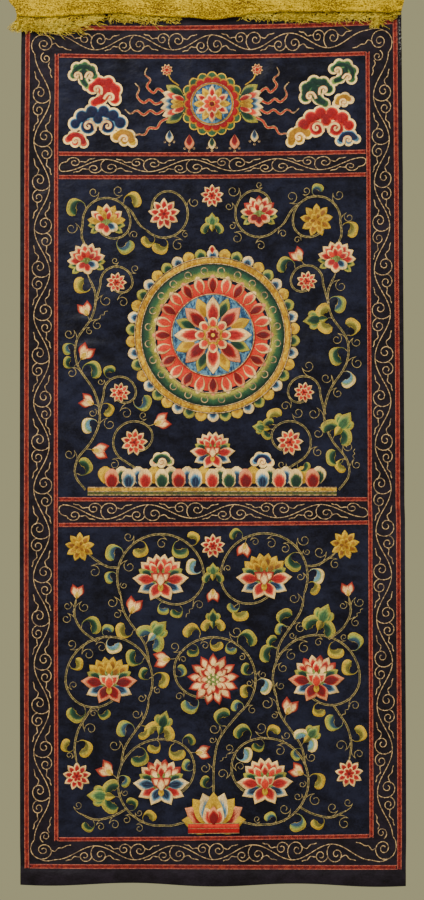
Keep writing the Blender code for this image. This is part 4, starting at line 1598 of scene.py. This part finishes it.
# %% [markdown]
# ## The middle field
# A great roundel fills the middle: a wide gold rim, a ring of petals, a shaded halo and a large
# eight-petalled flower. Vines loop round flowers in the upper corners, upright stems sway at the
# sides, and a row of lotus petals runs along the foot. The rule fills what they leave empty.

# %% The roundel
x, down = ROUNDEL = (1, 331)
gold_rim = satin_ring("gold_rim", 67.6, 2.9, 96, 0.9)
halo_ring = satin_ring("halo_ring", 58.6, 6.4, 84, 0.6)
roundel = Embroidery("roundel")
for ring, look in ((gold_rim, stippled_gold), (halo_ring, rounds["halo"])):
    roundel.put(ring, spot(x, down), look, 1)
    bpy.data.objects.remove(ring)
flower(roundel, x, down, 0, 1, (
    (round_petal, around(42), ("blue", "gold", "green"), 1.22, 55.4, 0, 1.22),
    (pointed_petal, around(24), ("wine", "flame"), 1.42, 27.6, 1, 0.98),
    (pointed_petal, around(8, 22.5), ("green", "gold"), 1.5, 12, 4, 1),
    (pointed_petal, around(8), ("red", "wine"), 2.05, 5, 5, 1),
    (round_petal, around(8), ("flame",), 1.2, 5.2, 6, 1),
    (round_petal, around(8, 22.5), ("wine",), 0.72, 0.6, 9, 1),
))
for radius, look, layer in (
    (53, rounds["red"], 0), (37, stippled_blue, 3), (9.4, stippled_gold, 8), (2.2, rounds["straw"], 11),
):
    put_disc(roundel, x, down, radius, look, layer)
roundel.sew()

roundel_cords = Cords("roundel_cords", 0.5 * MM, gilt)
for radius, layer in ((70.6, 3), (64.8, 3), (52.4, 3), (37.2, 4)):
    roundel_cords.lay(arc(x, down, radius, 0, 360)[:-1], closed=True, layer=layer)
for turn in around(24, 7.5):
    roundel_cords.lay(arc(*moved(ROUNDEL, turn, 58.6), 3, turn + 180, 300, 1.6), layer=2)
roundel_cords.couch()

# %% Vines of the middle field
middle_field = Garden("middle", -137, 138.5, 191, 456)
flowers = middle_field.flowers
middle_field.keep(*ROUNDEL, 79.5)
stems = []
for side in (-1, 1):
    # A loop round a flower in the upper corner, and a second loop nearer the middle.
    outer_loop, inner_loop = (side * 95, 228), (side * 43, 221)
    run, meet = link(outer_loop, inner_loop, 21.5, side)
    middle_field.vine(mirrored(side, [(114, 250), (117.5, 241), *coil(95, 228, 21.5, 100, -320, 0.5)[1:]]))
    middle_field.vine(run)
    middle_field.vine(coil(*inner_loop, 21.5, meet, side * 320, 0.5))
    # An upright stem, swaying from side to side.
    stems.append(mirrored(side, [
        (114, 471), (123, 458), (121, 443), (108, 426), (101, 406), (106, 382), (121, 358), (122, 336),
        (108, 314), (105, 294), (112, 276),
    ]))
    middle_field.vine(stems[-1])
    # A low curl beside the roundel's foot, and two loops from the stem towards the roundel.
    middle_field.vine(mirrored(side, [(60, 463), (67, 453), *coil(70, 428, 19, 146, -300, 0.5)]))
    for root, (over, fall) in (((105.5, 303), (86, 283)), ((102, 403), (83, 383))):
        middle_field.vine(mirrored(side, [root, *coil(over, fall, 14.5, 96, -300, 0.5)]))
        round_flower(flowers, side * over, fall, 10, 0.85, ("red", "flame"))
        middle_field.keep(side * over, fall, 11.5)
    lotus(flowers, side * 113, 264, side * 8, 1, ("red", "flame"), ("red", "blue"))
    round_flower(flowers, side * 70, 428, 6, 1.1, ("flame", "red"))
    cloud(flowers, side * 44, 444, SMALL, (GREEN_CLOUD, BLUE_CLOUD)[side > 0], 0.9, side)
    for over, fall, radius in ((95, 228, 21), (43, 221, 21), (113, 262, 17), (70, 428, 14), (44, 444, 11)):
        middle_field.keep(side * over, fall, radius)
lotus(flowers, -95, 229, 0, 1, ("gold", "red"), ("red", "blue"))
round_flower(flowers, -43, 221, 0, 1.3)
round_flower(flowers, 95, 228, 0, 1.35, ("gold", "amber"), "gold")
lotus(flowers, 43, 222, 0, 0.98, ("red", "pink"), ("wine", "red"))
bowl_lotus(flowers, 0.5, 438, 0.84)
round_flower(flowers, 0.5, 205, 0, 0.95)
three_lobed_leaf(flowers, 0.5, 236, 0, 0.9)
# A closed bud hangs below the leaf.
flower(flowers, 0.5, 250, 180, 0.7, (
    (bud_petal, (0,), ("red_bud",), 1, 0, 0, 1), (narrow_petal, (-30, 30), ("green",), 0.74, -0.8, 1, 1.3),
))
for fall, radius in ((434, 24), (205, 11), (234, 14)):
    middle_field.keep(0.5, fall, radius)
for side, stem in zip((-1, 1), stems):
    middle_field.grow(stem, 0.27, side, "flower", 1, ("red",))
    middle_field.grow(stem, 0.53, -side, "lotus", 0.86, ("flame", "red"), ("red", "blue"))
    middle_field.grow(stem, 0.8, side, "flower", 0.9, ("gold", "amber"), "gold")
middle_field.fill()
middle_field.sew()

# %% The row of lotus petals
ROW_DOWN = 472
row_line = [-112 + 8 * n for n in range(29)]
petal_row = Embroidery("petal_row")
for count, half, down, size, looks, layer in (
    (14, 96, ROW_DOWN - 7, 1.7, ("gold", "jade", "blue"), 0),
    (13, 90.5, ROW_DOWN - 2.6, 1.95, ("wine", "blue", "red", "jade"), 1),
):
    for n, over in enumerate(spread(-half, half, count)):
        petal_row.put(round_petal, spot(over, down, 0, size, 1.12), threads[looks[n % len(looks)]], layer)
for fall, half, look in ((-1.6, 1.6, stippled_gold), (1.8, 1.5, vine_look)):
    petal_row.strip([(over, ROW_DOWN + fall) for over in row_line], (half, half), look, 2)
petal_row.sew()
row_cords = Cords("petal_row_cords", 0.4 * MM, gilt)
for fall in (-3.4, 0.2, 3.5):
    row_cords.lay([(over, ROW_DOWN + fall) for over in row_line], layer=2)
row_cords.couch()

# %% [markdown]
# ## The bottom field
# Seven large lotus flowers stand in staggered rows, two, three and two. Two vines rise from a mound
# of petals at the foot's middle. Each circles a flower, and a slightly swayed run leads from one
# circle to the next, which turns the other way. A third vine rises to the flower in the middle.

# %% Vines of the bottom field
bottom_field = Garden("bottom", -137.5, 139, 505, 780)
flowers = bottom_field.flowers
CIRCLE = 39
for side in (-1, 1):
    low, middle, high = (side * 46.5, 733), (side * 93, 641), (side * 46.5, 549)
    root = mirrored(side, [(14, 764), (26, 769), (38, 772)])
    bottom_field.vine(root + coil(*low, CIRCLE, side * 186, side * -335)[4:])
    for first, second, hand in ((low, middle, side), (middle, high, -side)):
        run, meet = link(first, second, CIRCLE, hand)
        bottom_field.vine(run)
        bottom_field.vine(coil(*second, CIRCLE, meet, hand * 325))
    # Branches that fill the corners and the sides.
    for branch, rolls in (
        ([(84, 540), (94, 539), (103, 534), (112, 527)], 0),
        ([(104, 606), (117, 596), (124, 582), (122, 566)], 0),
        ([(108, 665), (114, 674), (121, 686), (124, 701), (122, 716)], 0),
        ([(77, 756), (90, 763), (106, 766), (120, 760)], -1),
    ):
        bottom_field.vine(mirrored(side, branch), side * rolls)
    round_flower(flowers, side * 119, 521, 0, 1.2, ("gold", "amber"), "gold")
    bell(flowers, side * 122, 567, side * -6, 1)
    round_flower(flowers, side * 122, 727, 0, 1.15)
    for over, fall, radius in ((119, 521, 13.5), (121, 560, 8), (122, 727, 13)):
        bottom_field.keep(side * over, fall, radius)
ring = coil(0.5, 641, CIRCLE - 1, 143, -318)
stalk = smooth([(0.5, 752), (0.5, 736), (1, 716), (6, 694), ring[0]])
bottom_field.vine(smooth([*stalk[::3], *ring[1:]], 2.4))

# %% Large flowers in their circles
for x, down, front, sides, crown in (
    (-46.5, 552, "pink", ("red", "blue"), ("red", "flame")),
    (46.5, 552, "pink", ("red", "blue"), ("gold", "amber")),
    (-93, 644, "flame", ("wine", "blue"), ("gold", "amber")),
    (93, 644, "flame", ("wine", "blue"), ("red", "pink")),
    (-46.5, 736, "pink", ("blue", "red"), ("red", "pink")),
    (46.5, 736, "flame", ("red", "blue"), ("red", "flame")),
):
    bowl_lotus(flowers, x, down, 1.04, front, sides, crown)
    for over, fall, radius in ((0, -9, 17), (-15, 2, 11.5), (15, 2, 11.5), (0, 9, 13)):
        bottom_field.keep(x + over, down + fall, radius)
x = 0.5
open_lotus(flowers, x, 641)
# The mound of petals, from its spread ones at the back to the small ones in front, on a red foot.
for layer, (turns, size, look) in enumerate((
    ((-82, 82), 1.7, "gold"), ((-60, 60), 1.75, "wine"), ((-39, 39), 1.75, "gold"), ((-19, 19), 1.75, "blue"),
    ((0,), 1.7, "gold"), ((-26, 26), 1.05, "red"), ((0,), 1, "wine"),
)):
    fan(flowers, x, 771, broad_petal, turns, (look,), size, 0, layer)
foot = [(x + n * 4.6, 774.6) for n in range(-5, 6)]
flowers.strip(foot, (4.2, 4.2), rounds["red"], 7)
for fall in (-4.4, 0, 4.4):
    bottom_field.cords.lay([(over, down + fall) for over, down in foot], layer=9)
round_flower(flowers, x, 521)
three_lobed_leaf(flowers, x, 551, 0, 0.85)
bell(flowers, x, 560, 180, 0.95)
three_lobed_leaf(flowers, x, 594, 0, 0.95, "lemon_leaf", "leaf")
for place in (
    (x, 641, 24.5), (-19, 764, 13), (x, 764, 28), (20, 764, 13), (x, 521, 11.5), (x, 550, 12),
    (x, 566, 8), (x, 592, 12),
):
    bottom_field.keep(*place)
bottom_field.grow(stalk, 0.32, -1, "flower", 0.9, ("red",))
bottom_field.grow(stalk, 0.34, 1, "flower", 0.9, ("gold", "amber"), "gold")
bottom_field.fill()
bottom_field.sew()

# %% [markdown]
# ## Finish
# The sampler goes.

# %% Finish
for shape in sampler:
    bpy.data.objects.remove(shape)
